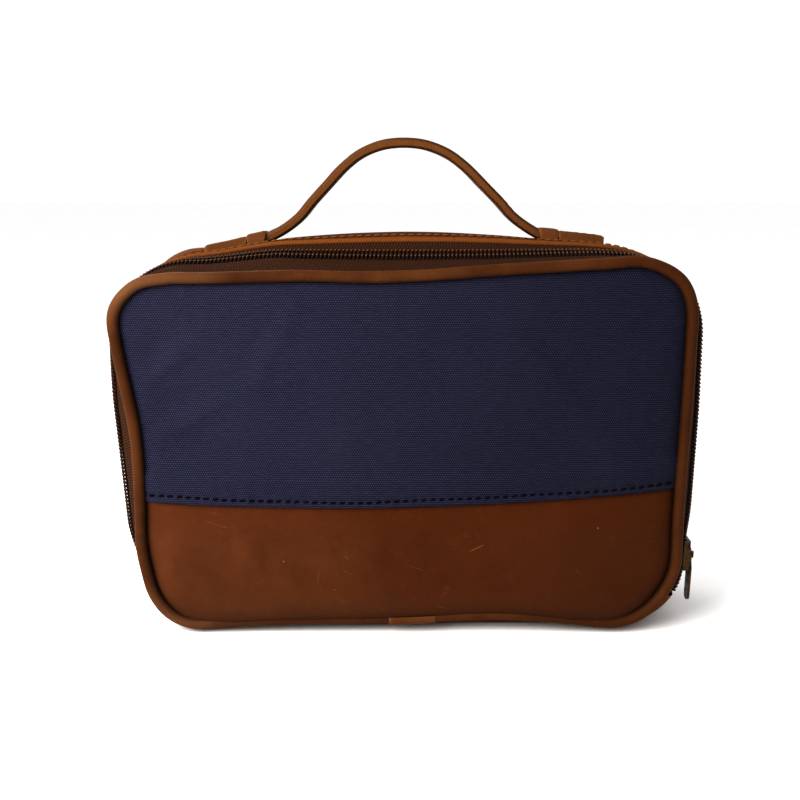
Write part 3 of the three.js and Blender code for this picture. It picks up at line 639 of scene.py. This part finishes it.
def nylon():
    s = Shader("nylon_coil", 0.5)
    at = s.place()
    s.join(s.mix(s.noise(at, 0.6, 3), tone(30, 13, 7), tone(64, 32, 20)), "Base Color")
    s.join(s.scaled(s.noise(at, 2.0, 2), 0.2, 0.42), "Roughness")
    s.bump((s.noise(at, 3.0, 2), 0.03))
    return s.done(0.12)


def brass():
    s = Shader("antique_brass", 0.34, 1.0)
    at = s.place()
    tarnish = s.level(s.noise(at, 0.35, 5, 0.4), 0.42, 0.68)
    s.join(s.mix(tarnish, tone(96, 70, 42), tone(44, 32, 22)), "Base Color")
    s.join(s.scaled(tarnish, 0.3, 0.24), "Roughness")
    s.bump((s.noise(at, 1.6, 4), 0.03))
    return s.material


M = {
    "canvas": canvas(),
    "panel": leather("panel_leather", (118, 58, 26), (86, 37, 12), (142, 74, 36),
                     (196, 128, 74), 0.5, 0.05, 1.3, panel_zones),
    "piping": leather("piping_leather", (90, 44, 16), (60, 25, 6), (126, 68, 29),
                      (142, 80, 36), 0.5, 0.09, 1.0, piping_zones),
    "gusset": leather("gusset_leather", (108, 52, 22), (76, 32, 10), (130, 68, 32),
                      (164, 88, 34), 0.6, 0.07, gloss=0.008),
    "strap": leather("strap_leather", (94, 47, 17), (64, 28, 8), (120, 63, 25),
                     (140, 80, 35), 0.46, 0.08, 0.9),
    "tab": leather("tab_leather", (118, 63, 25), (86, 40, 12), (142, 82, 38),
                   (160, 96, 46), 0.5, 0.06, 0.8),
    "tape": herringbone(),
    "nylon": nylon(),
    "lining": cotton("cotton_lining", (70, 52, 40), (128, 104, 84)),
    "binding": cotton("binding_tape", (36, 22, 16), (74, 50, 38), 0.9),
    "navy_thread": thread("navy_thread", (12, 11, 22), (4, 4, 9)),
    "brown_thread": thread("brown_thread", (204, 130, 76), (150, 86, 46)),
    "coil_thread": thread("coil_thread", (190, 128, 82), (120, 72, 44)),
    "brass": brass(),
}


# ---- the two panels: canvas above, leather below ------------------------------------------
def hem(x):
    """Height of the canvas's lower edge above the floor."""
    return HEM_HEIGHT + HEM_SLOPE * x + HEM_CURVE * x * x


def edge_run(k0, k1, y, inset, count):
    """Evenly spaced points along the inset outline between two loop positions."""
    k = np.linspace(k0, k1, 1500)
    points, _ = skin(k, y, -inset)
    points = points[:, [0, 2]]
    run = distance_along(points)
    return resampled(points, np.linspace(0, run[-1], count), run)


def crossing(k0, k1, y, inset, line):
    """The loop position between k0 and k1 where the inset outline meets the line z(x)."""
    k = np.linspace(k0, k1, 2000)
    points, _ = skin(k, y, -inset)
    return k[np.argmin(np.abs(points[:, 2] - line(points[:, 0])))]


def side_ends(y, inset, line, count):
    """Where the inset outline meets the line z(x) at left and right, and count x values between."""
    left = crossing(TOP_LEFT + CORNER, BASE_LEFT, y, inset, line)
    right = crossing(SIDE_RIGHT, TOP_RIGHT, y, inset, line)
    ends, _ = skin(np.array([left, right]), y, -inset)
    return left, right, np.linspace(ends[0, 0], ends[1, 0], count)


def patch(low, high, left, right, rows):
    """A smooth net of (x, z) points between four edges; rows are the heights from 0 to 1."""
    s = np.linspace(0, 1, len(low))[None, :, None]
    t = rows[:, None, None]
    up = np.linspace(0, 1, len(left))
    at_left, at_right = resampled(left, rows, up)[:, None], resampled(right, rows, up)[:, None]
    corners = (1 - t) * ((1 - s) * low[0] + s * low[-1]) + t * ((1 - s) * high[0] + s * high[-1])
    return (1 - t) * low[None] + t * high[None] + (1 - s) * at_left + s * at_right - corners


def from_edge(net, y):
    """Distance of each (x, z) point from the piping's seam."""
    rim, _ = skin(np.arange(0, LOOP, 0.125), y, -PANEL_TUCK)
    rim = rim[:, [0, 2]]
    flat = net.reshape(-1, 2)
    nearest = np.array([np.sqrt(((rim - p) ** 2).sum(axis=1).min()) for p in flat])
    return nearest.reshape(net.shape[:2])


def panel_height(net, gap, seed):
    """How far a panel stands proud of its seam: a low dome that pulls in at the piping."""
    x, z = net[..., 0], net[..., 1]
    dome = np.clip(1 - (x / 126) ** 2, 0, 1) * np.clip(1 - ((z - 90) / 86) ** 2, 0, 1)
    solid = np.stack([x, z, np.zeros_like(x)], axis=-1)
    soft = wobble(solid, 46, seed) * 0.6 + wobble(solid, 19, seed + 3) * 0.18 + folds(x, z)
    return dome * PANEL_DOME + soft * np.clip(gap / 12, 0, 1) - 2.0 * np.exp(-gap / 3.4)


def folds(x, z):
    """Shallow slanting folds that the cloth has taken where the left side pulls in."""
    total = np.zeros_like(x)
    shapes = ((-112, 128, 40, 20, 1.4), (-102, 104, 28, 24, 1.2), (-98, 82, -8, 26, 1.0),
              (-60, 138, 62, 34, 0.6), (70, 120, -50, 40, 0.6))
    for fx, fz, slant, length, depth in shapes:
        turn = math.radians(slant)
        along = (x - fx) * math.cos(turn) + (z - fz) * math.sin(turn)
        across = (z - fz) * math.cos(turn) - (x - fx) * math.sin(turn)
        total += depth * hump(along, 0, length) * (hump(across, 0, 4.5) - 0.7 * hump(across, 9, 6))
    return total


def stitch_line(y, rise):
    """The hem's stitch line, a little uneven: x and height above the floor."""
    _, _, x = side_ends(y, PANEL_TUCK + 1.6, lambda v: hem(v) + rise, 260)
    drift = 0.35 * np.sin(x / 23.0) + 0.2 * np.sin(x / 9.0 + 1.0)
    return x, hem(x) + rise + drift


def make_panels(side, body, word, seed):
    """The canvas and leather panels of one face; side is -1 for the front and 1 for the back."""
    y = side * BACK_Y
    columns = 240
    left, right, x = side_ends(y, PANEL_TUCK, hem, columns)
    rows = np.concatenate([np.linspace(0, 0.14, 20), np.linspace(0.14, 1, 58)[1:]])
    net = patch(np.stack([x, hem(x)], axis=1),
                edge_run(HIGH_LEFT, HIGH_RIGHT, y, PANEL_TUCK, columns),
                edge_run(left, HIGH_LEFT, y, PANEL_TUCK, 200),
                edge_run(right, HIGH_RIGHT, y, PANEL_TUCK, 200), rows)
    gap = from_edge(net, y)
    above = net[..., 1] - hem(net[..., 0])
    lap = 1.35 * (1 - ease((above - HEM_LAP) / 5))
    line_x, line_z = stitch_line(y, HEM_STITCH)
    off_line = net[..., 1] - np.interp(net[..., 0], line_x, line_z)
    pull = np.exp(-(off_line / 1.3) ** 2) * (0.42 + 0.16 * np.cos(2 * np.pi * net[..., 0] / HEM_PITCH))
    pucker = 0.14 * np.sin(np.pi * net[..., 0] / HEM_PITCH + seed) * np.exp(-np.abs(off_line) / 5)
    proud = PANEL_FACE + panel_height(net, gap, seed) + lap - pull + pucker
    grid = np.stack([net[..., 0], side * proud, net[..., 1]], axis=-1)
    roll = [(1.5, 0.5), (1.0, 0.0), (0.45, -0.18)]
    rolled = np.stack([grid[0] + np.array([0, -side * back, up]) for back, up in roll])
    grid = np.concatenate([rolled, grid])
    canvas_piece = grid_piece(word + "_canvas", grid, M["canvas"], flip=side > 0)
    planar_uvs(canvas_piece)
    finished(canvas_piece, body, "canvas", word + "_canvas_panel")

    places, run = sewn_line(np.stack([line_x, np.zeros_like(line_x), line_z], axis=1), HEM_PITCH)
    on = np.array([np.argmin((net[..., 0] - p[0]) ** 2 + (net[..., 1] - p[2]) ** 2) for p in places])
    places[:, 1] = side * (proud.ravel()[on] + 0.05)
    sew(word + "_hem_stitches", body, places, run, facing((0, side, 0), len(places)), (3.2, 1.3, 0.9),
        "navy_thread", 9)

    def lap_line(x):
        return hem(x) + HEM_LAP - 1

    left, right, x = side_ends(y, PANEL_TUCK, lap_line, columns)
    net = patch(edge_run(LOW_LEFT, LOOP + LOW_RIGHT, y, PANEL_TUCK, columns),
                np.stack([x, lap_line(x)], axis=1),
                edge_run(LOW_LEFT, left, y, PANEL_TUCK, 200),
                edge_run(LOW_RIGHT, right, y, PANEL_TUCK, 200),
                np.concatenate([np.linspace(0, 0.15, 20), np.linspace(0.15, 1, 60)[1:]]))
    gap = from_edge(net, y)
    proud = PANEL_FACE - 0.1 + panel_height(net, gap, seed)
    low = ease((30 - net[..., 1]) / 24) * ease((128 - np.abs(net[..., 0])) / 50)
    slide = low * 2.9 * np.exp(-gap / 5)
    net = np.stack([net[..., 0], net[..., 1] - slide], axis=-1)
    belly = low * (3.9 * np.exp(-gap / 14) + 1.0 * hump(gap, 4.5, 4.0)) - low * 0.5 * np.exp(-gap / 0.8)
    proud = np.minimum(proud + belly, OPEN_COVER_LIMIT)
    grid = np.stack([net[..., 0], side * proud, net[..., 1]], axis=-1)
    # Painted shade: a dark shadow line under the canvas hem and a darkening along the piping seam, stored
    # as a vertex attribute.
    hem_shadow = 0.75 * np.exp(-np.clip(hem(net[..., 0]) - net[..., 1], 0, None) / 0.9)
    seam_shade = 0.7 * np.exp(-gap / 1.1) + 0.18 * np.exp(-gap / 7)
    piece = grid_piece(word + "_leather", grid, M["panel"], flip=side > 0,
                       attributes={"painted_shade": np.maximum(hem_shadow, seam_shade).ravel()})
    planar_uvs(piece)
    finished(piece, body, "leather", word + "_leather_panel")


def planar_uvs(obj):
    """UVs straight from x and z, in millimetres, so that a weave runs level over the whole panel."""
    mesh = obj.data
    spots = np.zeros(len(mesh.vertices) * 3)
    mesh.vertices.foreach_get("co", spots)
    loops = np.zeros(len(mesh.loops), dtype=np.int32)
    mesh.loops.foreach_get("vertex_index", loops)
    uvs = spots.reshape(-1, 3)[loops][:, [0, 2]] / MM
    mesh.uv_layers[0].data.foreach_set("uv", uvs.astype(np.float32).ravel())


# ---- piping, zip and gusset ---------------------------------------------------------------
def closed_loop(step=1):
    return np.arange(0, LOOP, step, dtype=float)


def tube_round(k, y, out, radius, sides=20, start=0.0, sweep=360.0):
    """A tube along the skin's line; radius may vary along it."""
    centre, normal = skin(k, y, out)
    angle = np.radians(start + sweep * np.arange(sides) / (sides if sweep >= 360 else sides - 1))
    radius = np.broadcast_to(radius, (len(k), len(angle)))[..., None]
    depth = np.array([0, 1.0, 0])
    return (centre[:, None] + radius * (np.cos(angle)[None, :, None] * normal[:, None]
                                        + np.sin(angle)[None, :, None] * depth))


def make_piping(side, body, word, seed):
    k = closed_loop(0.5)
    centre, _ = skin(k, side * BACK_Y, PIPING_OUT)
    swell = 1 + 0.05 * wobble(centre, 16, seed) + 0.025 * wobble(centre, 5, seed + 2)
    grid = tube_round(k, side * BACK_Y, PIPING_OUT, (PIPING * swell)[:, None])
    angle = np.radians(360 * np.arange(20) / 20)
    crest = np.clip(np.cos(angle), 0, 1) ** 4
    # Painted shade on the piping's inner side, where it tucks in against the panel and tape.
    seam = hump(np.degrees(angle), 180, 42) * 0.75
    pipe = grid_piece(word + "_piping_tube", grid, M["piping"], round_u=True, round_v=True,
                      attributes={"edge": np.tile(crest * 0.35, len(k)), "painted_shade": np.tile(seam, len(k))})
    finished(pipe, body, "piping", word + "_piping")
    k = closed_loop()
    across = np.linspace(0, 1, 6)
    flange = skin_grid(k, side * (BACK_Y - 4.6 + 3.2 * across), -2.2 - 1.2 * np.sin(math.pi * across))
    strip = grid_piece(word + "_piping_flange", flange, M["gusset"], round_u=True, flip=side < 0)
    finished(strip, body, "piping")
    half = 12.0 / OUTLINE_WIDTH * 2 * HALF_BASE * 1.28
    k = np.linspace(LOOP - half, LOOP + half, 24)
    edge = np.abs(np.linspace(-1, 1, 24))
    radius = (PIPING + 0.3 + 0.5 * np.clip((1 - edge) * 12, 0, 1))[:, None]
    sleeve = tube_round(k, side * BACK_Y, PIPING_OUT, radius, 26, 200 if side < 0 else -20, -310)
    rim = np.repeat(np.clip(edge * 6 - 5.2, 0, 1), 26)
    piece = grid_piece(word + "_wrap", sleeve, M["tab"], flip=True, attributes={"edge": rim})
    finished(piece, body, "piping", word + "_piping_wrap")


def coil_tube(name, k0, k1, y, phase, head, body, node):
    """One side of a nylon coil zip: a continuous helix whose heads reach towards the other side."""
    along = spaced(k0, k1, y, -1.8, COIL_PITCH)
    steps = 12
    turn = np.arange((len(along) - 1) * steps) / steps
    k = np.interp(turn, np.arange(len(along)), along)
    angle = 2 * np.pi * (turn + phase)
    y_path = y + head * (COIL_WIDTH / 2) * np.cos(angle)
    depth = COIL_DEPTH + 0.12 * (y - ZIP_Y)
    out = depth + 1.0 * (1 - upward(k)) + COIL_HEIGHT / 2 * np.sin(angle)
    centre, normal = skin(k, y_path, out)
    ahead = np.gradient(centre, axis=0)
    ahead /= np.linalg.norm(ahead, axis=1, keepdims=True)
    side = np.cross(ahead, normal + np.array([0, 0.001, 0]))
    side /= np.linalg.norm(side, axis=1, keepdims=True)
    up = np.cross(side, ahead)
    ring = 2 * np.pi * np.arange(6) / 6
    grid = centre[:, None] + COIL_WIRE * (np.cos(ring)[None, :, None] * side[:, None]
                                          + np.sin(ring)[None, :, None] * up[:, None])
    coil = grid_piece(name, grid, M["nylon"], round_v=True, flip=True)
    finished(coil, body, "zip_coil", node)
    spots = along[:-1] + np.diff(along) * 0.5
    depth = depth + 1.0 * (1 - upward(spots)) + COIL_HEIGHT / 2 + 0.3
    places, normals = skin(spots, np.full(len(spots), y - head * 0.5), depth)
    sew(name + "_thread", body, places, facing((0, 1, 0), len(spots)), normals, (1.2, 0.75, 0.9),
        "coil_thread", 24)


def make_zip():
    coil_tube("front_coil", ZIP_FROM, ZIP_TO, ZIP_Y - 1.75, 0.0, 1, "cover", "front_zip_coil")
    coil_tube("back_coil", ZIP_FROM, ZIP_TO, ZIP_Y + 1.75, 0.5, -1, "bag", "back_zip_coil")
    k = np.linspace(ZIP_FROM, ZIP_TO, 420)
    tapes = (("front", "cover", (-20.4, -22, -24, -26, -28, -30, -32, -33.6),
              (-3.6, -3.5, -2.6, -2.1, -1.9, -1.7, -1.8, -2.4)),
             ("back", "bag", (-18.6, -17, -15.6, -14.2, -12.8, -10.5, -8),
              (-3.3, -2.9, -1.5, -0.9, -0.8, -1.4, -2.2)))
    for word, body, ys, outs in tapes:
        fine = np.linspace(ys[0], ys[-1], 24)
        order = np.argsort(ys)
        out = np.interp(fine, np.array(ys)[order], np.array(outs)[order])
        near = ease(1 - np.abs(fine - ZIP_Y) / 9)
        grid = skin_grid(k, fine, out[:, None] + (1 - upward(k)) * near[:, None])
        shift = wobble(grid, 11, 5) * 0.18
        _, normal = skin(k, ys[0], 0.0)
        grid = grid + shift[..., None] * normal[:, None]
        piece = grid_piece(word + "_tape", grid, M["tape"], flip=body == "cover")
        thicken(piece, 0.5)
        finished(piece, body, "zip_textile", word + "_zip_tape")


def gusset_profile():
    """Depth and rise across the gusset leather, from its rolled front edge to the back seam."""
    front = [(-10.6, -1.5), (-11.7, -1.2), (-12.3, -0.5), (-12.4, 0.2), (-12.15, 0.75), (-11.6, 1.05),
             (-10.9, 1.1), (-10.2, 1.05), (-9.6, 0.95), (-9.0, 0.95), (-8.4, 1.05), (-6.5, 0.8),
             (-4.5, 0.4)]
    y = np.linspace(-2.5, 28, 24)
    back = [(v, 0.25) for v in y] + [(29.5, 0.1), (31, -0.3), (32.4, -1.0), (33.6, -1.9)]
    return front + back


def make_gusset():
    ys, outs = np.array(gusset_profile()).T
    k = np.linspace(ZIP_FROM, ZIP_TO, 520)
    grid = skin_grid(k, ys, outs[:, None] - 1.6 * (1 - upward(k)) * ease((-7 - ys) / 3.4)[:, None])
    _, normal = skin(k, CROWN_Y, 0.0)
    calm = np.clip((ys + 9) / 8, 0, 1) * np.clip((32 - ys) / 8, 0, 1)
    under_handle = np.exp(-((grid[..., 0] + 1) / 105) ** 8) * (grid[..., 2] > 150)
    soft = (wobble(grid, 34, 11) * 0.7 + wobble(grid, 12, 12) * 0.18) * calm * (1 - 0.85 * under_handle)
    ripple = wobble(grid, 6, 14) * 0.12 * (1 - calm)
    grid = grid + (np.minimum(soft, 0.15) + ripple)[..., None] * normal[:, None]
    rim = np.clip((-10.7 - ys) * 1.4 + 0.1, 0, 1)
    piece = grid_piece("gusset_leather", grid, M["gusset"], attributes={"edge": np.tile(rim, len(k))})
    finished(piece, "bag", "leather", "gusset_strip")
    gusset_row("gusset_stitches", STITCH_ROW, 0.6, lambda at: 1.3 - 1.1 * (1 - upward(at)), 0.85, 0.8)
    gusset_row("back_gusset_stitches", BACK_ROW, 0, lambda at: -0.05, 0.75, 0.5)


def gusset_row(name, y, out, rise, width, height):
    """A row of stitches along the gusset at depth y; rise gives their height above the skin."""
    at = spaced(ZIP_FROM + 0.5, ZIP_TO - 0.5, y, out, STITCH_PITCH)
    places, normals = skin(at, y, rise(at))
    sew(name, "bag", places, along_skin(at, y, 0.6), normals, (3.0, width, height))


def base_run(count):
    """Loop positions along the base, between the two ends of the zip."""
    return np.linspace(ZIP_TO + 0.3, LOOP + ZIP_FROM - 0.3, count)


def make_base():
    k = base_run(220)
    ys = np.concatenate([[-32.2, -31.4, -30.4, -29], np.linspace(-27, 27, 28), [29, 30.6, 32, 33.6]])
    outs = np.concatenate([[-1.0, -0.35, 0, 0], np.zeros(28), [0, -0.3, -1.0, -1.9]])
    grid = skin_grid(k, ys, outs)
    _, normal = skin(k, 0.0, 0.0)
    inward = np.clip(wobble(grid, 30, 21), -1, 0) * 0.9
    grid = grid + inward[..., None] * normal[:, None]
    grid[..., 2] = np.maximum(grid[..., 2], 0.02)
    ends = np.abs(np.linspace(-1, 1, len(k)))
    rim = np.repeat(np.clip(ends * 40 - 39, 0, 1), len(ys))
    piece = grid_piece("base_leather", grid, M["gusset"], attributes={"edge": rim})
    finished(piece, "bag", "leather", "bottom_gusset")
    for name, at in (("left_base_stitches", ZIP_TO + 1.2), ("right_base_stitches", ZIP_FROM - 1.2)):
        places, normals = skin(at, np.arange(-11, 30, STITCH_PITCH), 0.12)
        sew(name, "bag", places, facing((0, 1, 0), len(places)), normals, (3.0, 0.75, 0.6))


# ---- handle -------------------------------------------------------------------------------
def crown(x, y=STRAP_Y):
    """Height of the gusset's top at x and depth y."""
    points, _ = skin(np.linspace(TOP_RIGHT, TOP_LEFT + CORNER, 600), y, 0.0)
    order = np.argsort(points[:, 0])
    return np.interp(x, points[order, 0], points[order, 2])


def curve_through(points, count):
    """A smooth curve through the points, evenly spaced."""
    p = np.array([2 * points[0] - points[1], *points, 2 * points[-1] - points[-2]])
    pieces = []
    for i in range(1, len(p) - 2):
        t = np.linspace(0, 1, 30, endpoint=i == len(p) - 3)[:, None]
        a, b, c, d = p[i - 1], p[i], p[i + 1], p[i + 2]
        pieces.append(0.5 * (2 * b + (c - a) * t + (2 * a - 5 * b + 4 * c - d) * t**2
                             + (3 * b - a - 3 * c + d) * t**3))
    line = np.concatenate(pieces)
    run = distance_along(line)
    return resampled(line, np.linspace(0, run[-1], count), run)


def strap_line(count):
    """The strap's middle line in x and z; its left leg is drawn in a little more than its right."""
    arch = [(62, 188.6), (53, 194.8), (46, 202), (38, 209.6), (29, 218), (20, 224.2), (10, 228)]
    halves = []
    for side, ends, tuck in ((-1, (92, 81, 66.5), 4.4), (1, (93, 80, 66.5), 1.8)):
        lying = [(STRAP_X + side * r, crown(STRAP_X + side * r) + h)
                 for r, h in zip(ends, (1.9, 2.0, 2.4))]
        rising = [(STRAP_X + side * (r - tuck * np.clip((224 - z) / 36, 0, 1)), z)
                  for r, z in arch]
        halves.append(lying + rising)
    return curve_through(np.array(halves[0] + [(STRAP_X, 229.0)] + halves[1][::-1]), count)


def lean_shift(z):
    return STRAP_Y + STRAP_LEAN * np.clip(z - STRAP_PIVOT, 0, None)


def make_handle():
    line = strap_line(300)
    ahead = np.gradient(line, axis=0)
    ahead /= np.linalg.norm(ahead, axis=1, keepdims=True)
    up = np.stack([-ahead[:, 1], ahead[:, 0]], axis=1)
    reach = np.abs(line[:, 0] - STRAP_X)
    half = 1.3 + 0.85 * ease((72 - reach) / 9)
    corner = 0.62
    width = STRAP_WIDTH / 2
    across = np.concatenate([np.linspace(-1, 1, 25), [1.0] * 5, np.linspace(1, -1, 25), [-1.0] * 5])
    rise = np.concatenate([np.ones(25), np.linspace(0.72, -0.72, 5)])
    rise = np.concatenate([rise, -rise])
    groove = np.tile(np.concatenate([np.zeros(25), [0.1, 0.25, 0.05, 0.25, 0.1]]), 2)
    near_edge = np.abs(across) > 0.97
    rise = np.where(near_edge & (np.abs(rise) > 0.9), rise * corner, rise)
    rim_dip = 0.1 * np.exp(-((np.abs(across) - 0.78) / 0.035) ** 2) * (np.abs(rise) > 0.9)
    crowned = 0.12 * (1 - across**2) * (np.abs(rise) > 0.9)
    thick = rise * (1 - rim_dip + crowned)
    y = np.sign(across) * groove + across * (width - 0.25)
    tall = half[:, None] * thick[None]
    grid = np.stack([line[:, 0:1] + up[:, 0:1] * tall,
                     np.broadcast_to(y[None], tall.shape) + lean_shift(line[:, 1])[:, None],
                     line[:, 1:2] + up[:, 1:2] * tall], axis=-1)
    rough = wobble(grid, 9, 31) * 0.12 * (np.abs(rise) > 0.9)
    grid[..., 0] += up[:, 0:1] * rough
    grid[..., 2] += up[:, 1:2] * rough
    rim = np.clip(np.abs(across) * 14 - 12.9, 0, 1)
    strap = grid_piece("handle_strap", grid, M["strap"], round_v=True, caps=True,
                       attributes={"edge": np.tile(rim, len(line))})
    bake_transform(strap)
    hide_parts("handle_end_left", "handle_end_right", "handle_leg_left", "handle_leg_right",
                "handle_grip", "handle_grip_lining")
    on_top = np.abs(line[:, 0] - STRAP_X) < 65
    for word, sign in (("top", 1), ("under", -1)):
        for mark, offset in (("front", -0.78), ("back", 0.78)):
            path = np.stack([line[:, 0] + up[:, 0] * sign * (half - 0.02),
                             lean_shift(line[:, 1]) + offset * width,
                             line[:, 1] + up[:, 1] * sign * (half - 0.02)], axis=1)[on_top]
            places, run = sewn_line(path, STITCH_PITCH)
            turned = np.cross(run, np.array([0, 1.0, 0])) * -sign
            turned *= np.sign(turned[:, 2:] * sign + 1e-9)
            sewn = beads("handle_%s_%s_stitches" % (word, mark), places, run, turned, (2.9, 0.75, 0.36),
                         M["brown_thread"])
            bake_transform(sewn)


def bridge(name, near, far, rise, direction, node):
    """A leather strap over the handle's end, sewn down to the gusset at both of its own ends."""
    reach = np.linspace(near, far, 22)
    y = np.linspace(-13.4, 13.4, 44)
    x = STRAP_X + direction * reach
    level = ease((12.9 - np.abs(y)) / 2.6)
    base = np.array([crown(x, STRAP_Y + v) for v in y]).T
    rounded = 1 - 0.15 * np.clip((np.abs(np.linspace(-1, 1, 22)) - 0.9) * 10, 0, 1) ** 2
    top = base + 0.35 + (rise - 1.5) * level[None] * rounded[:, None]
    grid = np.stack([*np.broadcast_arrays(x[:, None], STRAP_Y + y[None], top)], axis=-1)
    grid[..., 2] += wobble(grid, 8, 41) * 0.12
    u = np.abs(np.linspace(-1, 1, 22))[:, None]
    v = np.abs(np.linspace(-1, 1, 44))[None]
    rim = np.clip(np.maximum(u * 9 - 8, v * 16 - 15.2), 0, 1)
    piece = grid_piece(name, grid, M["tab"], flip=direction > 0, attributes={"edge": rim.ravel()})
    thicken(piece, 1.3, 0.4)
    finished(piece, "bag", "tab", node)
    return grid


def make_bridges():
    for word, direction, start in (("left", -1, 65.8), ("right", 1, 64.2)):
        bridge("keeper_band_" + word, start, start + 7.6, 5.6, direction, "keeper_" + word)
        grid = bridge("end_tab_" + word, start + 8.5, 93.4, 4.9, direction, "handle_tab_" + word)
        rows = (("front", grid[2:-2, 7]), ("back", grid[2:-2, 36]),
                ("inner", grid[2, 7:37]), ("outer", grid[-3, 7:37]))
        for mark, path in rows:
            places, run = sewn_line(path + np.array([0, 0, 1.25]), TAB_PITCH)
            sew("tab_%s_%s_stitches" % (word, mark), "bag", places, run,
                facing((0, 0, 1), len(places)), (2.5, 0.75, 0.4))


# ---- inside -------------------------------------------------------------------------------
def make_lining(side, body, word, seed):
    """The lining sheet behind one face, with a binding round its edge."""
    y = side * BACK_Y
    inset = 7.2
    columns = 150
    net = patch(edge_run(LOW_LEFT, LOOP + LOW_RIGHT, y, inset, columns),
                edge_run(HIGH_LEFT, HIGH_RIGHT, y, inset, columns),
                edge_run(LOW_LEFT, HIGH_LEFT, y, inset, 200),
                edge_run(LOW_RIGHT, HIGH_RIGHT, y, inset, 200),
                np.linspace(0, 1, 100))
    gap = from_edge(net, y)
    solid = np.stack([net[..., 0], net[..., 1], np.zeros(net.shape[:2])], axis=-1)
    soft = (wobble(solid, 40, seed) * 0.7 + wobble(solid, 15, seed + 1) * 0.25) * np.clip(gap / 15, 0, 1)
    depth = 31.1 - 0.6 * np.clip(gap / 10, 0, 1) + soft
    grid = np.stack([net[..., 0], side * depth, net[..., 1]], axis=-1)
    piece = grid_piece(word + "_lining_sheet", grid, M["lining"], flip=side < 0)
    planar_uvs(piece)
    finished(piece, body, "lining", word + "_lining", word + "_stiffener")
    k = closed_loop()
    band = tube_round(k, side * 31.6, -5.6, 1.9, 12, 90 if side < 0 else -90, 200 if side < 0 else -200)
    binding = grid_piece(word + "_binding", band, M["binding"], round_u=True, flip=side > 0)
    finished(binding, body, "lining")


def make_gusset_lining():
    k = closed_loop()
    grid = skin_grid(k, np.linspace(LINING_FRONT, LINING_BACK, 26), np.full(26, LINING_OUT))
    _, normal = skin(k, 0.0, 0.0)
    grid = grid + (wobble(grid, 25, 51) * 0.45)[..., None] * normal[:, None]
    piece = grid_piece("gusset_lining_sheet", grid, M["lining"], round_u=True, flip=True)
    finished(piece, "bag", "lining", "gusset_lining")
    k = base_run(160)
    grid = skin_grid(k, np.linspace(-29.5, LINING_FRONT, 12), np.full(12, -3.4))
    piece = grid_piece("base_lining_sheet", grid, M["lining"], flip=True)
    finished(piece, "bag", "lining")


def make_hinge():
    """The fold between the base and the cover: leather outside, lining inside."""
    k = base_run(160)
    for name, material, start, end, low, high, slot_name in (
            ("hinge_leather", "gusset", -31.2, -34.4, -0.7, -2.6, "leather"),
            ("hinge_lining", "binding", -28.5, -33.4, -3.6, -5.6, "lining")):
        grid = skin_grid(k, np.linspace(start, end, 14), np.linspace(low, high, 14))
        piece = grid_piece(name, grid, M[material], flip=name == "hinge_leather")
        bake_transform(piece)


# ---- metal parts keep their CAD shape -----------------------------------------------------
def make_metal():
    for name in ("zip_slider", "zip_pull"):
        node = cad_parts[name]
        node.data.materials.clear()
        node.data.materials.append(M["brass"])
        soften = node.modifiers.new("worn_edges", "BEVEL")
        soften.width = 0.22 * MM
        soften.segments = 2
        soften.limit_method = "ANGLE"


make_panels(-1, "cover", "front", 1)
make_panels(1, "bag", "back", 8)
make_piping(-1, "cover", "front", 3)
make_piping(1, "bag", "back", 4)
make_zip()
make_gusset()
make_base()
make_handle()
make_bridges()
make_lining(-1, "cover", "front", 15)
make_lining(1, "bag", "back", 17)
make_gusset_lining()
make_hinge()
make_metal()


# ---- camera, floor and light --------------------------------------------------------------
def area_light(name, place, aim, size, power, colour):
    data = bpy.data.lights.new(name, "AREA")
    data.shape = "DISK"
    data.size = size
    data.energy = power
    data.color = colour
    lamp = bpy.data.objects.new(name, data)
    lamp.location = place
    lamp.rotation_euler = (Vector(aim) - Vector(place)).to_track_quat("-Z", "Y").to_euler()
    bpy.context.scene.collection.objects.link(lamp)


def floor():
    s = Shader("studio_floor", 0.7)
    speckle = s.noise(s.place(), 0.02, 3)
    s.join(s.ramp(speckle, (0.3, (0.93, 0.93, 0.93)), (0.7, (0.96, 0.96, 0.96))), "Base Color")
    s.surface.inputs["Specular IOR Level"].default_value = 0.0
    grid = np.array([[[x, y, -0.3] for y in (-2500.0, 4000.0)] for x in (-4000.0, 4000.0)])
    grid_piece("studio_floor", grid, s.material)


camera_data = bpy.data.cameras.new("camera")
camera_data.lens = 50
camera_data.sensor_width = 36
camera = bpy.data.objects.new("camera", camera_data)
camera.location = (-0.003, -0.5319, 0.2287)
camera.rotation_euler = (math.radians(77), 0, 0)
bpy.context.scene.collection.objects.link(camera)
bpy.context.scene.camera = camera

floor()
area_light("key", (-0.52, -0.5, 0.5), (-0.05, 0, 0.1), 0.6, 13, (1.0, 0.97, 0.92))
area_light("rim", (-0.3, 0.6, 0.7), (0, 0, 0.15), 0.5, 3, (1.0, 1.0, 1.0))
world = bpy.data.worlds.new("studio")
world.use_nodes = True
world.node_tree.nodes["Background"].inputs[0].default_value = (1, 1, 1, 1)
world.node_tree.nodes["Background"].inputs[1].default_value = 1.04
bpy.context.scene.world = world
bpy.context.scene.view_settings.view_transform = "Standard"
bpy.context.scene.view_settings.gamma = VIEW_GAMMA
